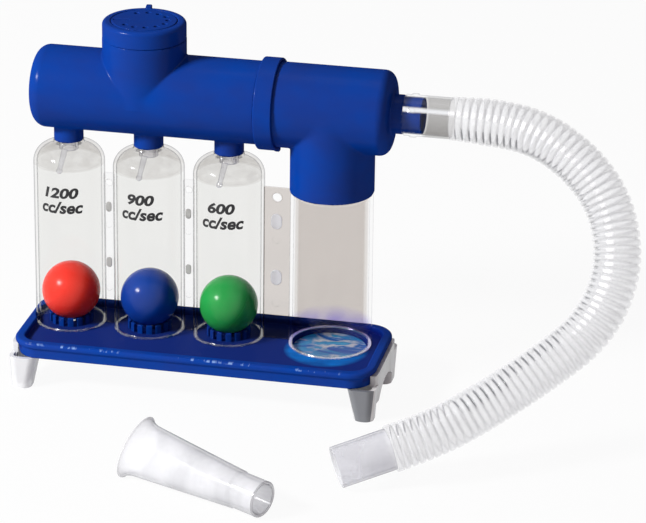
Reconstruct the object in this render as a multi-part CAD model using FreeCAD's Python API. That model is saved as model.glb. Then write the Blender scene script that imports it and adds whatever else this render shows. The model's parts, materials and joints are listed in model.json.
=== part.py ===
import FreeCAD
import Part

import math
import os

V = FreeCAD.Vector
UP = V(0, 0, 1)
RIGHT = V(1, 0, 0)
BACK = V(0, 1, 0)

# Frame: X runs along the manifold towards the hose, Y to the rear, Z up.
# The origin lies on the table, under the middle of the tray's length and the tubes' mid-plane.

# How far a cutting shape runs past what it cuts, and how close counts as the same place
past = 1.0
near = 1e-4

# Ball tubes
ball_names = ("1200", "900", "600")
tube_pitch = 39.0
tube_outer_r = 17.0
tube_wall = 1.5
tube_shoulder_height = 81.8
dome_r = 9.0
neck_ring_r = 7.3
neck_ring_height = 1.7
neck_outer_r = 5.9
neck_wall = 1.2
neck_insert = 6.0

# Trap tube, which the hose's air passes over
trap_spacing = 49.6
trap_foot_r = 19.9
trap_top_r = 19.6
trap_wall = 1.7
trap_below_shoulder = 4.0
trap_neck_r = 18.0
trap_neck_height = 9.0

# Webs that join the tubes, in two halves that meet at the mid-plane
web_half_thickness = 1.0
web_below_shoulder = 4.9
web_hole_r = 2.3
web_hole_below_top = 4.9
web_margin = 0.7
boss_heights = (60.2, 31.8)
boss_width = 4.6
boss_length = 7.2
boss_rise = 0.9
peg_r = 1.9
peg_heights = (50.9, 18.5)
peg_reach = 1.6
peg_clearance = 0.15

# Balls, their stops and their seats
ball_r = 14.0
ball_gap = 0.3
stop_wall = 1.3
stop_fit = 0.12
stop_flange = 1.0
stop_drop = 3.0
stop_root_rise = 0.9
stop_tip_left = 3.2
stop_tip_front = 6.0
stop_tip_below_shoulder = 3.7
prong_root_r = 1.5
prong_tip_r = 1.1
bead_r = 1.5
seat_outer_r = 10.5
seat_wall = 1.5
seat_height = 4.2
seat_teeth = 14
seat_slot = 1.8
inlet_hole_r = (2.6, 2.1, 1.7)

# Base tray
tray_past_first_tube = 19.3
tray_past_trap = 28.3
tray_front_depth = 41.0
tray_rear_depth = 21.6
tray_corner_r = 13.0
tray_floor_height = 21.5
tray_floor_thickness = 1.8
rim_height = 3.0
rim_width = 4.6
tube_relief = 0.2
rim_drop = 3.2
rim_overhang = 1.2
rim_round = 1.4
skirt_depth = 8.0
skirt_draft = 0.7
skirt_wall = 1.8
disc_r = 17.9
disc_thickness = 1.5
disc_drop = 2.2
disc_ledge = 1.6
disc_clearance = 0.15
disc_chamfer = 0.4
pocket_wall = 1.8

# Leg frames
frame_clearance = 0.2
frame_wall = 2.2
frame_corner_inset = 7.0
leg_width_top = 13.6
leg_width_foot = 9.4
leg_depth_top = 13.2
leg_depth_foot = 10.8
rear_leg_depth_top = 16.2
rear_leg_depth_foot = 14.0
leg_splay = 0.9
leg_corner_r = 4.0
leg_wall = 1.8
arch_height = 12.3
arch_rise = 5.3

# Manifold: the tube with the tower, and the tee with the branch and the spigot
manifold_above_shoulder = 36.7
manifold_r = 19.6
manifold_wall = 2.0
end_overhang = 15.0
end_round = 6.0
bell_past_tube = 15.2
bell_length = 9.3
bell_flare = 1.0
bell_wall = 1.5
socket_clearance = 0.2
latch_width = 3.0
latch_length = 2.6
latch_drop = 1.6
latch_round = 0.5
spout_r = 7.0
spout_fit = 0.15
tower_shift = -1.7
tower_r = 19.8
tower_height = 27.6
tower_sink = 2.4
tee_r = 20.05
tee_wall = 2.1
tee_past_trap = 28.2
tee_round = 5.0
branch_r = 19.9
branch_drop = 40.6
branch_fit = 0.2
spigot_r = 8.7
spigot_wall = 1.5
spigot_length = 14.5
spigot_shoulder_rise = 0.5
spigot_shoulder_length = 5.4

# Dial on the tower
dial_gap = 0.4
dial_height = 8.0
dial_overhang = -0.1
dial_wall = 1.8
dial_top = 2.2
dial_round = 2.6
dial_holes = 10
dial_hole_r = 1.2
dial_hole_circle = 11.1
dial_hole_step = 28.0
dial_first_hole = -129.0
dial_boss_margin = 2.6
dial_slot_angle = -172.0
dial_slot_start = 7.0
dial_slot_length = 7.6
dial_slot_width = 1.7
dial_slot_depth = 0.8
dial_groove_r = 15.6
dial_groove_width = 0.7
dial_groove_depth = 0.4
lug_angle = 98.0
lug_width = 2.8
lug_reach = 1.3
lug_rise = 1.0
lug_round = 0.6
stem_r = 3.0
stem_fit = 0.08
stem_below_plate = 4.0
plate_thickness = 2.4
plate_ledge = 1.6
plate_fit = 0.12
window_span = 84.0
window_margin = 0.6
clip_r = 5.0
clip_thickness = 1.6
clip_gap = 0.35
clip_fit = 0.03

# Hose
hose_wall = 1.7
hose_lap = 0.4
cuff_fit = 0.05
cuff_wall = 0.95
near_cuff_length = 22.0
far_cuff_length = 26.0
cuff_bead_rise = 0.6
cuff_bead_start = 3.0
cuff_bead_length = 3.0
cuff_gap = 0.2
arc_share = 0.45
hose_points = (
    (139, 0, 140),
    (162, -5, 136),
    (184, -13, 122),
    (196, -22, 104),
    (199, -33, 82),
    (190, -46, 60),
    (168, -61, 44),
    (146, -76, 31),
    (127, -90, 22),
    (108, -99, 16.3),
)

# Mouthpiece, lying in front
mouth_length = 74.0
mouth_lip_width = 31.0
mouth_lip_height = 17.0
mouth_lip_depth = 2.4
mouth_lip_round = 0.5
mouth_width = 26.6
mouth_height = 14.4
mouth_fit = 0.35
mouth_tip_length = 14.0
mouth_shoulder = 0.4
mouth_wall = 1.3
mouth_roll = 43.0
mouth_tip_x = 60.3
mouth_tip_y = -147.1
mouth_heading = 154.3

# Sizes that follow from those above
tray_length = tray_past_first_tube + (len(ball_names) - 1) * tube_pitch + trap_spacing + tray_past_trap
first_tube_x = tray_past_first_tube - tray_length / 2
tube_xs = tuple(first_tube_x + i * tube_pitch for i in range(len(ball_names)))
trap_x = tube_xs[-1] + trap_spacing
tower_x = tube_xs[1] + tower_shift
neck_inner_r = neck_outer_r - neck_wall
shoulder_z = tray_floor_height + tube_shoulder_height
dome_top = shoulder_z + dome_r
spout_bottom = dome_top + neck_ring_height
neck_top = spout_bottom + neck_insert
trap_top = shoulder_z - trap_below_shoulder
axis_z = shoulder_z + manifold_above_shoulder
branch_bottom = axis_z - branch_drop
seat_inner_r = seat_outer_r - seat_wall
seat_top = tray_floor_height + seat_height
ball_z = seat_top + math.sqrt(ball_r ** 2 - seat_inner_r ** 2) + ball_gap
stop_tip_z = shoulder_z - stop_tip_below_shoulder
stop_reach = math.hypot(stop_tip_left, stop_tip_front)
ball_top_z = stop_tip_z - math.sqrt((ball_r + bead_r) ** 2 - stop_reach ** 2) - ball_gap
rim_top = tray_floor_height + rim_height
skirt_bottom = rim_top - skirt_depth
disc_bottom = tray_floor_height - disc_drop - disc_thickness
tray_half = tray_length / 2
frame_top = rim_top - rim_drop - frame_clearance
frame_front = rim_overhang - frame_clearance - tray_front_depth
frame_rear = tray_rear_depth - rim_overhang + frame_clearance
pocket_bottom = disc_bottom - disc_ledge
leg_top = min(skirt_bottom, pocket_bottom) - frame_clearance
frame_outer = tray_half - rim_overhang + frame_clearance + frame_wall
manifold_left = tube_xs[0] - end_overhang
bell_start = tube_xs[-1] + bell_past_tube
bell_end = bell_start + bell_length
socket_r = tee_r + socket_clearance
bell_r = socket_r + bell_wall
tee_end = trap_x + tee_past_trap
tower_top = axis_z + tower_height
dial_r = tower_r + dial_overhang
dial_bottom = tower_top + dial_gap
dial_top_z = dial_bottom + dial_height
spigot_shoulder_r = spigot_r + spigot_shoulder_rise
cuff_bore_r = spigot_r + cuff_fit
cuff_r = cuff_bore_r + cuff_wall
cuff_bead_r = cuff_r + cuff_bead_rise
hose_bore_r = cuff_r - hose_lap
hose_r = hose_bore_r + hose_wall
mouth_tip_r = cuff_bore_r - mouth_fit
cuff_start = tee_end + spigot_shoulder_length + cuff_gap
hose_path_start = cuff_start + near_cuff_length


def at(point):
    """A point of a profile: radius or X first, height second."""
    return V(point[0], 0, point[1])


def outline(start, *steps):
    """Closed face in the XZ plane. A step is an end point, or a middle and an end for an arc."""
    edges = []
    here = start
    for step in steps:
        if isinstance(step[0], tuple):
            middle, end = step
            edges.append(Part.Arc(at(here), at(middle), at(end)).toShape())
        else:
            end = step
            edges.append(Part.LineSegment(at(here), at(end)).toShape())
        here = end
    edges.append(Part.LineSegment(at(here), at(start)).toShape())
    return Part.Face(Part.Wire(edges))


def bulge(centre, radius, degrees):
    """Point of an arc, by its centre, radius and angle."""
    turn = math.radians(degrees)
    return (centre[0] + radius * math.cos(turn), centre[1] + radius * math.sin(turn))


def spun_up(face, x=0.0):
    """Face turned about a vertical axis through x."""
    body = face.revolve(V(0, 0, 0), UP, 360)
    body.translate(V(x, 0, 0))
    return body


def spun_along(face):
    """Face turned about the manifold's axis; its heights are radii."""
    body = face.revolve(V(0, 0, 0), RIGHT, 360)
    body.translate(V(0, 0, axis_z))
    return body


def post(radius, low, high, x=0.0, y=0.0):
    """Upright cylinder between two heights."""
    return Part.makeCylinder(radius, high - low, V(x, y, low))


def block(low, high):
    """Box between two corners."""
    size = V(*high) - V(*low)
    return Part.makeBox(size.x, size.y, size.z, V(*low))


def joined(*pieces):
    """Pieces fused into one solid, with no seams left."""
    return pieces[0].multiFuse(list(pieces[1:])).removeSplitter()


def rounded_rectangle(x0, x1, y0, y1, radius, z):
    """Rectangle with round corners, as a wire at height z."""
    c = radius * (1 - math.sqrt(0.5))
    edges = []
    stops = (
        ((x0 + radius, y0), (x1 - radius, y0), (x1 - c, y0 + c), (x1, y0 + radius)),
        ((x1, y0 + radius), (x1, y1 - radius), (x1 - c, y1 - c), (x1 - radius, y1)),
        ((x1 - radius, y1), (x0 + radius, y1), (x0 + c, y1 - c), (x0, y1 - radius)),
        ((x0, y1 - radius), (x0, y0 + radius), (x0 + c, y0 + c), (x0 + radius, y0)),
    )
    for start, turn, middle, end in stops:
        a, b, m, e = (V(p[0], p[1], z) for p in (start, turn, middle, end))
        edges.append(Part.LineSegment(a, b).toShape())
        edges.append(Part.Arc(b, m, e).toShape())
    return Part.Wire(edges)


def tray_wire(inset, z):
    """Outline of the tray, moved in by inset."""
    return rounded_rectangle(
        inset - tray_half,
        tray_half - inset,
        inset - tray_front_depth,
        tray_rear_depth - inset,
        tray_corner_r - inset,
        z,
    )


def tray_prism(inset, low, high):
    """Solid of the tray's outline between two heights."""
    return Part.Face(tray_wire(inset, low)).extrude(V(0, 0, high - low))


def edges_near(shape, z):
    """Edges that lie wholly at one height."""
    return [e for e in shape.Edges if abs(e.BoundBox.ZMin - z) < near and abs(e.BoundBox.ZMax - z) < near]


def base_tray():
    """Tray with a rolled rim, a drafted skirt, three castellated seats and the trap's pocket."""
    floor_under = tray_floor_height - tray_floor_thickness
    skirt_top = rim_top - rim_drop
    rim = tray_prism(0, skirt_top, rim_top)
    rim = rim.makeFillet(rim_round, edges_near(rim, rim_top) + edges_near(rim, skirt_top))
    skirt = Part.makeLoft(
        [tray_wire(rim_overhang + skirt_draft, skirt_bottom), tray_wire(rim_overhang, skirt_top + rim_round)],
        True,
    )
    body = joined(rim, skirt)
    basin = tray_prism(rim_width, tray_floor_height, rim_top + past)
    body = body.cut(basin)
    lip = edges_near(body, rim_top)
    body = body.makeFillet(rim_round, lip)
    for x, radius in [(x, tube_outer_r) for x in tube_xs] + [(trap_x, trap_foot_r)]:
        body = body.cut(post(radius + tube_relief, tray_floor_height, rim_top + past, x))
    hollow = tray_prism(rim_overhang + skirt_draft + skirt_wall, skirt_bottom - past, floor_under)
    body = body.cut(hollow)
    pocket_floor = disc_bottom
    pocket_r = disc_r + disc_clearance
    well = post(pocket_r + pocket_wall, pocket_bottom, tray_floor_height, trap_x)
    body = joined(body, well)
    body = body.cut(post(pocket_r, pocket_floor, tray_floor_height + past, trap_x))
    body = body.cut(post(pocket_r - disc_ledge, skirt_bottom - past, pocket_floor + past, trap_x))
    for x, hole_r in zip(tube_xs, inlet_hole_r):
        body = joined(body, ball_seat(x))
        body = body.cut(post(hole_r, floor_under - past, tray_floor_height + past, x))
    return body


def ball_seat(x):
    """Ring of teeth that a ball rests on, with slots for the air between them."""
    low = tray_floor_height - tray_floor_thickness / 2
    ring = post(seat_outer_r, low, seat_top).cut(post(seat_inner_r, low - past, seat_top + past))
    for i in range(seat_teeth):
        far = (seat_outer_r + past, seat_slot / 2, seat_top + past)
        slot = block((0, -seat_slot / 2, tray_floor_height), far)
        slot.rotate(V(0, 0, 0), UP, 360 * (i + 0.5) / seat_teeth)
        ring = ring.cut(slot)
    ring.translate(V(x, 0, 0))
    return ring


def trap_disc():
    """Clear disc that closes the trap's pocket from below."""
    disc = post(disc_r, disc_bottom, disc_bottom + disc_thickness, trap_x)
    return disc.makeChamfer(disc_chamfer, edges_near(disc, disc_bottom + disc_thickness))


def leg(y_outer, y_sign, depth_top, depth_foot):
    """Tapered hollow leg under a corner of the tray, closed at its foot."""
    outer_x = frame_outer
    corner = leg_corner_r

    def section(z, width, depth, splay, inset, radius):
        x1 = outer_x - splay - inset
        x0 = outer_x - splay - width + inset
        near = y_outer - y_sign * (splay + inset)
        far = y_outer - y_sign * (splay + depth - inset)
        return rounded_rectangle(x0, x1, min(near, far), max(near, far), radius, z)

    outside = Part.makeLoft(
        [
            section(0, leg_width_foot, depth_foot, leg_splay, 0, corner),
            section(leg_top, leg_width_top, depth_top, 0, 0, corner),
        ],
        True,
        True,
    )
    inside = Part.makeLoft(
        [
            section(leg_wall, leg_width_foot, depth_foot, leg_splay, leg_wall, corner - leg_wall),
            section(leg_top + past, leg_width_top, depth_top, 0, leg_wall, corner - leg_wall),
        ],
        True,
        True,
    )
    return outside.cut(inside)


def leg_frame(side):
    """End frame: a wall round the tray's end with an arch between a front and a rear leg."""
    reach = frame_clearance + frame_wall - rim_overhang
    wall = tray_prism(-reach, 0, frame_top)
    wall = wall.cut(tray_prism(rim_overhang - frame_clearance, -past, frame_top + past))
    low = (tray_half - tray_corner_r, frame_front + frame_corner_inset, 0)
    high = (frame_outer + past, frame_rear - frame_corner_inset, frame_top)
    wall = wall.common(block(low, high))
    front_inner = frame_front + leg_depth_top
    rear_inner = frame_rear - rear_leg_depth_top
    half_span = (rear_inner - front_inner) / 2
    arch_r = (half_span ** 2 + arch_rise ** 2) / (2 * arch_rise)
    centre = V(0, (rear_inner + front_inner) / 2, arch_height - arch_r)
    arch = Part.makeCylinder(arch_r, frame_outer + past, centre, RIGHT)
    low = (0, frame_front, -past)
    open_below = block(low, (frame_outer + past, frame_rear, arch_height - arch_rise))
    wall = wall.cut(arch).cut(open_below)
    front = leg(frame_front, -1, leg_depth_top, leg_depth_foot)
    rear = leg(frame_rear, 1, rear_leg_depth_top, rear_leg_depth_foot)
    for space in (leg_space(frame_front, -1, leg_depth_top), leg_space(frame_rear, 1, rear_leg_depth_top)):
        wall = wall.cut(space)
    frame = joined(front, rear, wall)
    if side < 0:
        frame = frame.mirror(V(0, 0, 0), RIGHT)
    return frame


def leg_space(y_outer, y_sign, depth):
    """Room inside a leg, which the end wall keeps out of."""
    low_y = min(y_outer, y_outer - y_sign * depth)
    high_y = max(y_outer, y_outer - y_sign * depth)
    return block(
        (frame_outer - leg_width_top, low_y + leg_wall, -past),
        (frame_outer - leg_wall - leg_splay, high_y - leg_wall, leg_top),
    )


def tube_solid(wall):
    """Profile of a ball tube with its dome and neck: the outside at wall 0, the inside at its wall."""
    r = tube_outer_r - wall
    dome = dome_r - wall
    neck = neck_outer_r - (neck_wall if wall else 0)
    extra = past if wall else 0
    low = tray_floor_height - extra
    centre = (r - dome, shoulder_z)
    dome_end = (r - dome, shoulder_z + dome)
    top = neck_top + extra
    if wall:
        steps = ((r, low), (r, shoulder_z), (bulge(centre, dome, 45), dome_end), (neck, shoulder_z + dome))
        return outline((0, low), *steps, (neck, top), (0, top))
    steps = ((r, low), (r, shoulder_z), (bulge(centre, dome, 45), dome_end), (neck_ring_r, dome_top))
    return outline((0, low), *steps, (neck_ring_r, spout_bottom), (neck, spout_bottom), (neck, top), (0, top))


def trap_solid(wall):
    """Profile of the trap tube, slightly tapered, with a neck that enters the branch."""
    extra = past if wall else 0
    low = tray_floor_height - extra
    top = trap_top + trap_neck_height + extra
    shoulder = trap_top - wall
    return outline(
        (0, low),
        (trap_foot_r - wall, low),
        (trap_top_r - wall, shoulder),
        (trap_neck_r - wall, shoulder),
        (trap_neck_r - wall, top),
        (0, top),
    )


def web_places():
    """Middle of each web and its half width, from one tube's wall to the next."""
    edges = [(x - tube_outer_r, x + tube_outer_r) for x in tube_xs]
    edges.append((trap_x - trap_foot_r, trap_x + trap_foot_r))
    return [((a[1] + b[0]) / 2, (b[0] - a[1]) / 2) for a, b in zip(edges, edges[1:])]


def oval_boss(x, z, width, y_out):
    """Oval pad on a web's face."""
    half = (boss_length - width) / 2
    lower = Part.makeCylinder(width / 2, y_out, V(x, 0, z - half), BACK)
    upper = Part.makeCylinder(width / 2, y_out, V(x, 0, z + half), BACK)
    return joined(lower, upper, block((x - width / 2, 0, z - half), (x + width / 2, y_out, z + half)))


def chamber_half(side):
    """Front (-1) or rear (+1) half of the row of tubes and webs, with pegs or peg holes."""
    low = tray_floor_height
    web_top = shoulder_z - web_below_shoulder
    outer = [spun_up(tube_solid(0), x) for x in tube_xs] + [spun_up(trap_solid(0), trap_x)]
    inner = [spun_up(tube_solid(tube_wall), x) for x in tube_xs] + [spun_up(trap_solid(trap_wall), trap_x)]
    web = block((tube_xs[0], -web_half_thickness, low), (trap_x, web_half_thickness, web_top))
    pads = []
    holes = []
    for x, half_width in web_places():
        width = min(boss_width, 2 * (half_width - web_margin))
        pads += [oval_boss(x, low + z, width, web_half_thickness + boss_rise) for z in boss_heights]
        hole_r = min(web_hole_r, half_width - web_margin)
        start = V(x, -tube_outer_r, web_top - web_hole_below_top)
        holes.append(Part.makeCylinder(hole_r, 2 * tube_outer_r, start, BACK))
    if side < 0:
        pads = [pad.mirror(V(0, 0, 0), BACK) for pad in pads]
    whole = joined(*outer, web, *pads)
    for cutter in inner + holes:
        whole = whole.cut(cutter)
    left = tube_xs[0] - tube_outer_r - past
    right = trap_x + trap_foot_r + past
    depth = trap_foot_r + past
    front, rear = (-depth, 0) if side < 0 else (0, depth)
    half = whole.common(block((left, front, low - past), (right, rear, neck_top + past)))
    for x, half_width in web_places():
        radius = min(peg_r, half_width - web_margin)
        for z in peg_heights:
            half = add_peg(half, side, x, low + z, radius)
    return half


def add_peg(half, side, x, z, radius):
    """Peg on the front half, which passes through a hole in the rear half."""
    if side < 0:
        length = 2 * web_half_thickness + peg_reach
        peg = Part.makeCylinder(radius - peg_clearance, length, V(x, -web_half_thickness, z), BACK)
        return joined(half, peg)
    return half.cut(Part.makeCylinder(radius, web_half_thickness + 2 * past, V(x, -past, z), BACK))


def ball_stop(x):
    """Plug in a tube's neck with a prong whose bead stops the ball."""
    plug_r = neck_inner_r - stop_fit
    low = dome_top - stop_drop
    sleeve = post(plug_r, low, neck_top).cut(post(plug_r - stop_wall, low - past, neck_top + past))
    flange = post(neck_outer_r, neck_top, neck_top + stop_flange)
    flange = flange.cut(post(plug_r - stop_wall, neck_top - past, neck_top + stop_flange + past))
    tip = V(-stop_tip_left, -stop_tip_front, stop_tip_z)
    root = V(-stop_tip_left / 3, stop_wall - plug_r, low + stop_root_rise)
    lean = tip - root
    prong = Part.makeCone(prong_root_r, prong_tip_r, lean.Length, root, lean)
    bead = Part.makeSphere(bead_r, tip)
    prong = prong.cut(post(plug_r - stop_wall, low, neck_top))
    stop = joined(sleeve, flange, prong, bead)
    stop.translate(V(x, 0, 0))
    return stop


def ball(x):
    """Ball resting on its seat."""
    return Part.makeSphere(ball_r, V(x, 0, ball_z))


def manifold_tube():
    """Closed tube with three spouts below, the tower on top and a bell at its right end."""
    r = manifold_r
    left = manifold_left
    corner = (left + end_round, r - end_round)
    outer = outline(
        (left, 0),
        (left, r - end_round),
        (bulge(corner, end_round, 135), (left + end_round, r)),
        (bell_start, r),
        (bell_start + bell_flare, bell_r),
        (bell_end, bell_r),
        (bell_end, 0),
    )
    body = spun_along(outer)
    lip = [e for e in body.Edges if abs(e.BoundBox.XMin - bell_end) < near and e.BoundBox.ZLength > socket_r]
    body = body.makeFillet(bell_wall / 3, lip)
    spouts = [post(spout_r, spout_bottom, axis_z - r / 2, x) for x in tube_xs]
    tower = post(tower_r, axis_z - tower_sink, tower_top, tower_x)
    latch = block(
        (bell_end - latch_length, -latch_width / 2, axis_z - bell_r - latch_drop),
        (bell_end, latch_width / 2, axis_z - bell_r + bell_wall / 2),
    )
    latch = latch.makeFillet(latch_round, edges_near(latch, axis_z - bell_r - latch_drop))
    body = joined(body, tower, *spouts, latch)
    bore = r - manifold_wall
    inside_left = left + manifold_wall
    inner_round = end_round - manifold_wall
    inner_corner = (inside_left + inner_round, bore - inner_round)
    socket_start = bell_start + bell_flare / 2
    hollow = outline(
        (inside_left, 0),
        (inside_left, bore - inner_round),
        (bulge(inner_corner, inner_round, 135), (inside_left + inner_round, bore)),
        (socket_start, bore),
        (socket_start, socket_r),
        (bell_end + past, socket_r),
        (bell_end + past, 0),
    )
    cutters = [spun_along(hollow)]
    cutters += [post(neck_outer_r + spout_fit, spout_bottom - past, axis_z, x) for x in tube_xs]
    cutters.append(post(tower_r - manifold_wall - plate_ledge, axis_z, tower_top + past, tower_x))
    cutters.append(post(tower_r - manifold_wall, tower_top - plate_thickness, tower_top + past, tower_x))
    for cutter in cutters:
        body = body.cut(cutter)
    return body


def manifold_tee():
    """Tee: closed at the right end, with the trap's branch below and the hose's spigot."""
    start = bell_start + bell_flare / 2 + socket_clearance
    corner = (tee_end - tee_round, tee_r - tee_round)
    outer = outline(
        (start, 0),
        (start, tee_r),
        (tee_end - tee_round, tee_r),
        (bulge(corner, tee_round, 45), (tee_end, tee_r - tee_round)),
        (tee_end, 0),
    )
    branch = post(branch_r, branch_bottom, axis_z, trap_x)
    body = joined(spun_along(outer), branch)
    root = V(tee_end - tee_wall, 0, axis_z)
    spigot = Part.makeCylinder(spigot_r, spigot_length + tee_wall, root, RIGHT)
    shoulder = Part.makeCylinder(spigot_shoulder_r, spigot_shoulder_length + tee_wall, root, RIGHT)
    body = joined(body, spigot, shoulder)
    bore = tee_r - tee_wall
    inner_round = tee_round - tee_wall
    inside_end = tee_end - tee_wall
    inner_corner = (inside_end - inner_round, bore - inner_round)
    hollow = outline(
        (start - past, 0),
        (start - past, bore),
        (inside_end - inner_round, bore),
        (bulge(inner_corner, inner_round, 45), (inside_end, bore - inner_round)),
        (inside_end, 0),
    )
    body = body.cut(spun_along(hollow))
    neck_end = trap_top + trap_neck_height + past
    body = body.cut(post(trap_neck_r + branch_fit, branch_bottom - past, neck_end, trap_x))
    body = body.cut(post(trap_neck_r - trap_wall, branch_bottom, axis_z, trap_x))
    bore = Part.makeCylinder(spigot_r - spigot_wall, tee_end + spigot_length, V(trap_x, 0, axis_z), RIGHT)
    return body.cut(bore)


def vent_plate():
    """Plate across the tower's top with a hub for the dial and a window that its holes pass over."""
    low = tower_top - plate_thickness
    plate = post(tower_r - manifold_wall - plate_fit, low, tower_top)
    plate = plate.cut(post(stem_r + stem_fit, low - past, tower_top + past))
    reach = dial_hole_r + window_margin
    length = plate_thickness + 2 * past
    window = Part.makeCylinder(dial_hole_circle + reach, length, V(0, 0, low - past), UP, window_span)
    window = window.cut(post(dial_hole_circle - reach, low - 2 * past, tower_top + 2 * past))
    plate = plate.cut(window)
    plate.translate(V(tower_x, 0, 0))
    return plate


def dial():
    """Turning cap on the tower: ring of vent holes, pointer slot, rim lug and a stem."""
    r = dial_r
    under = dial_top_z - dial_top
    stem_end = tower_top - plate_thickness - stem_below_plate
    profile = outline(
        (0, stem_end),
        (stem_r, stem_end),
        (stem_r, under),
        (dial_hole_circle - dial_boss_margin, under),
        (dial_hole_circle - dial_boss_margin, dial_bottom),
        (dial_hole_circle + dial_boss_margin, dial_bottom),
        (dial_hole_circle + dial_boss_margin, under),
        (r - dial_wall, under),
        (r - dial_wall, dial_bottom),
        (r, dial_bottom),
        (r, dial_top_z - dial_round),
        (bulge((r - dial_round, dial_top_z - dial_round), dial_round, 45), (r - dial_round, dial_top_z)),
        (0, dial_top_z),
    )
    cap = spun_up(profile)
    lug = block(
        (r - dial_round, -lug_width / 2, dial_top_z - dial_round),
        (r + lug_reach, lug_width / 2, dial_top_z + lug_rise),
    )
    lug = lug.makeFillet(lug_round, [e for e in lug.Edges if e.BoundBox.XMin > r])
    lug.rotate(V(0, 0, 0), UP, lug_angle)
    cap = joined(cap, lug)
    for i in range(dial_holes):
        angle = math.radians(dial_first_hole + i * dial_hole_step)
        x = dial_hole_circle * math.cos(angle)
        y = dial_hole_circle * math.sin(angle)
        cap = cap.cut(post(dial_hole_r, dial_bottom - past, dial_top_z + past, x, y))
    slot = block(
        (dial_slot_start, -dial_slot_width / 2, dial_top_z - dial_slot_depth),
        (dial_slot_start + dial_slot_length, dial_slot_width / 2, dial_top_z + past),
    )
    slot.rotate(V(0, 0, 0), UP, dial_slot_angle)
    groove = post(dial_groove_r + dial_groove_width / 2, dial_top_z - dial_groove_depth, dial_top_z + past)
    groove = groove.cut(post(dial_groove_r - dial_groove_width / 2, dial_bottom, dial_top_z + 2 * past))
    cap = cap.cut(slot).cut(groove)
    cap.translate(V(tower_x, 0, 0))
    return cap


def dial_clip():
    """Push-on clip that holds the dial's stem under the vent plate."""
    high = tower_top - plate_thickness - clip_gap
    clip = post(clip_r, high - clip_thickness, high)
    clip = clip.cut(post(stem_r + clip_fit, high - clip_thickness - past, high + past))
    clip.translate(V(tower_x, 0, 0))
    return clip


def hose_cuff_near():
    """Smooth cuff pushed over the spigot, with a grip bead."""
    cuff = Part.makeCylinder(cuff_r, near_cuff_length, V(cuff_start, 0, axis_z), RIGHT)
    bead = Part.makeCylinder(cuff_bead_r, cuff_bead_length, V(cuff_start + cuff_bead_start, 0, axis_z), RIGHT)
    bore = Part.makeCylinder(cuff_bore_r, near_cuff_length + 2 * past, V(cuff_start - past, 0, axis_z), RIGHT)
    return joined(cuff, bead).cut(bore)


def far_cuff_direction():
    """Direction in which the hose's free end points."""
    return (V(*hose_points[-1]) - V(*hose_points[-2])).normalize()


def hose_cuff_far():
    """Smooth cuff on the hose's free end, which takes the mouthpiece."""
    start = V(*hose_points[-1])
    way = far_cuff_direction()
    print("free cuff mouth at", start + way * far_cuff_length, "direction", way)
    cuff = Part.makeCylinder(cuff_r, far_cuff_length, start, way)
    return cuff.cut(Part.makeCylinder(cuff_bore_r, far_cuff_length + 2 * past, start - way * past, way))


def hose_route():
    """Straight runs joined by tangent arcs, each as large as its shorter run allows."""
    points = [V(hose_path_start, 0, axis_z)] + [V(*p) for p in hose_points]
    edges = []
    here = points[0]
    for before, corner, after in zip(points, points[1:], points[2:]):
        run_in = corner - before
        run_out = after - corner
        turn = run_in.getAngle(run_out)
        cut = arc_share * min(run_in.Length, run_out.Length)
        radius = cut / math.tan(turn / 2)
        a = corner - V(run_in).normalize() * cut
        b = corner + V(run_out).normalize() * cut
        inward = (a + b) * 0.5 - corner
        sagitta = radius / math.cos(turn / 2) - radius
        middle = corner + inward.normalize() * sagitta
        edges.append(Part.LineSegment(here, a).toShape())
        edges.append(Part.Arc(a, middle, b).toShape())
        print("hose bend radius %.1f mm, turn %.0f degrees" % (radius, math.degrees(turn)))
        here = b
    edges.append(Part.LineSegment(here, points[-1]).toShape())
    return Part.Wire(edges)


def hose():
    """Plain tube along the hose's route, between its two cuffs."""
    route = hose_route()
    start = route.Edges[0].Vertexes[0].Point
    way = route.Edges[0].tangentAt(route.Edges[0].FirstParameter)
    outside = route.makePipeShell([Part.Wire(Part.makeCircle(hose_r, start, way))], True, False)
    inside = route.makePipeShell([Part.Wire(Part.makeCircle(hose_bore_r, start, way))], True, False)
    tube = outside.cut(inside)
    section = math.pi * (hose_r ** 2 - hose_bore_r ** 2)
    print("hose length %.1f mm, volume ratio %.4f" % (route.Length, tube.Volume / (section * route.Length)))
    return tube


def oval(width, height, x, inset):
    """Oval or round wire across the mouthpiece at x, moved in by inset."""
    if width == height:
        curve = Part.Circle(V(0, 0, 0), UP, width / 2 - inset)
    else:
        curve = Part.Ellipse(V(0, 0, 0), width / 2 - inset, height / 2 - inset)
    wire = Part.Wire(curve.toShape())
    wire.rotate(V(0, 0, 0), UP, 90)
    wire.rotate(V(0, 0, 0), BACK, 90)
    wire.translate(V(x, 0, 0))
    return wire


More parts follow.
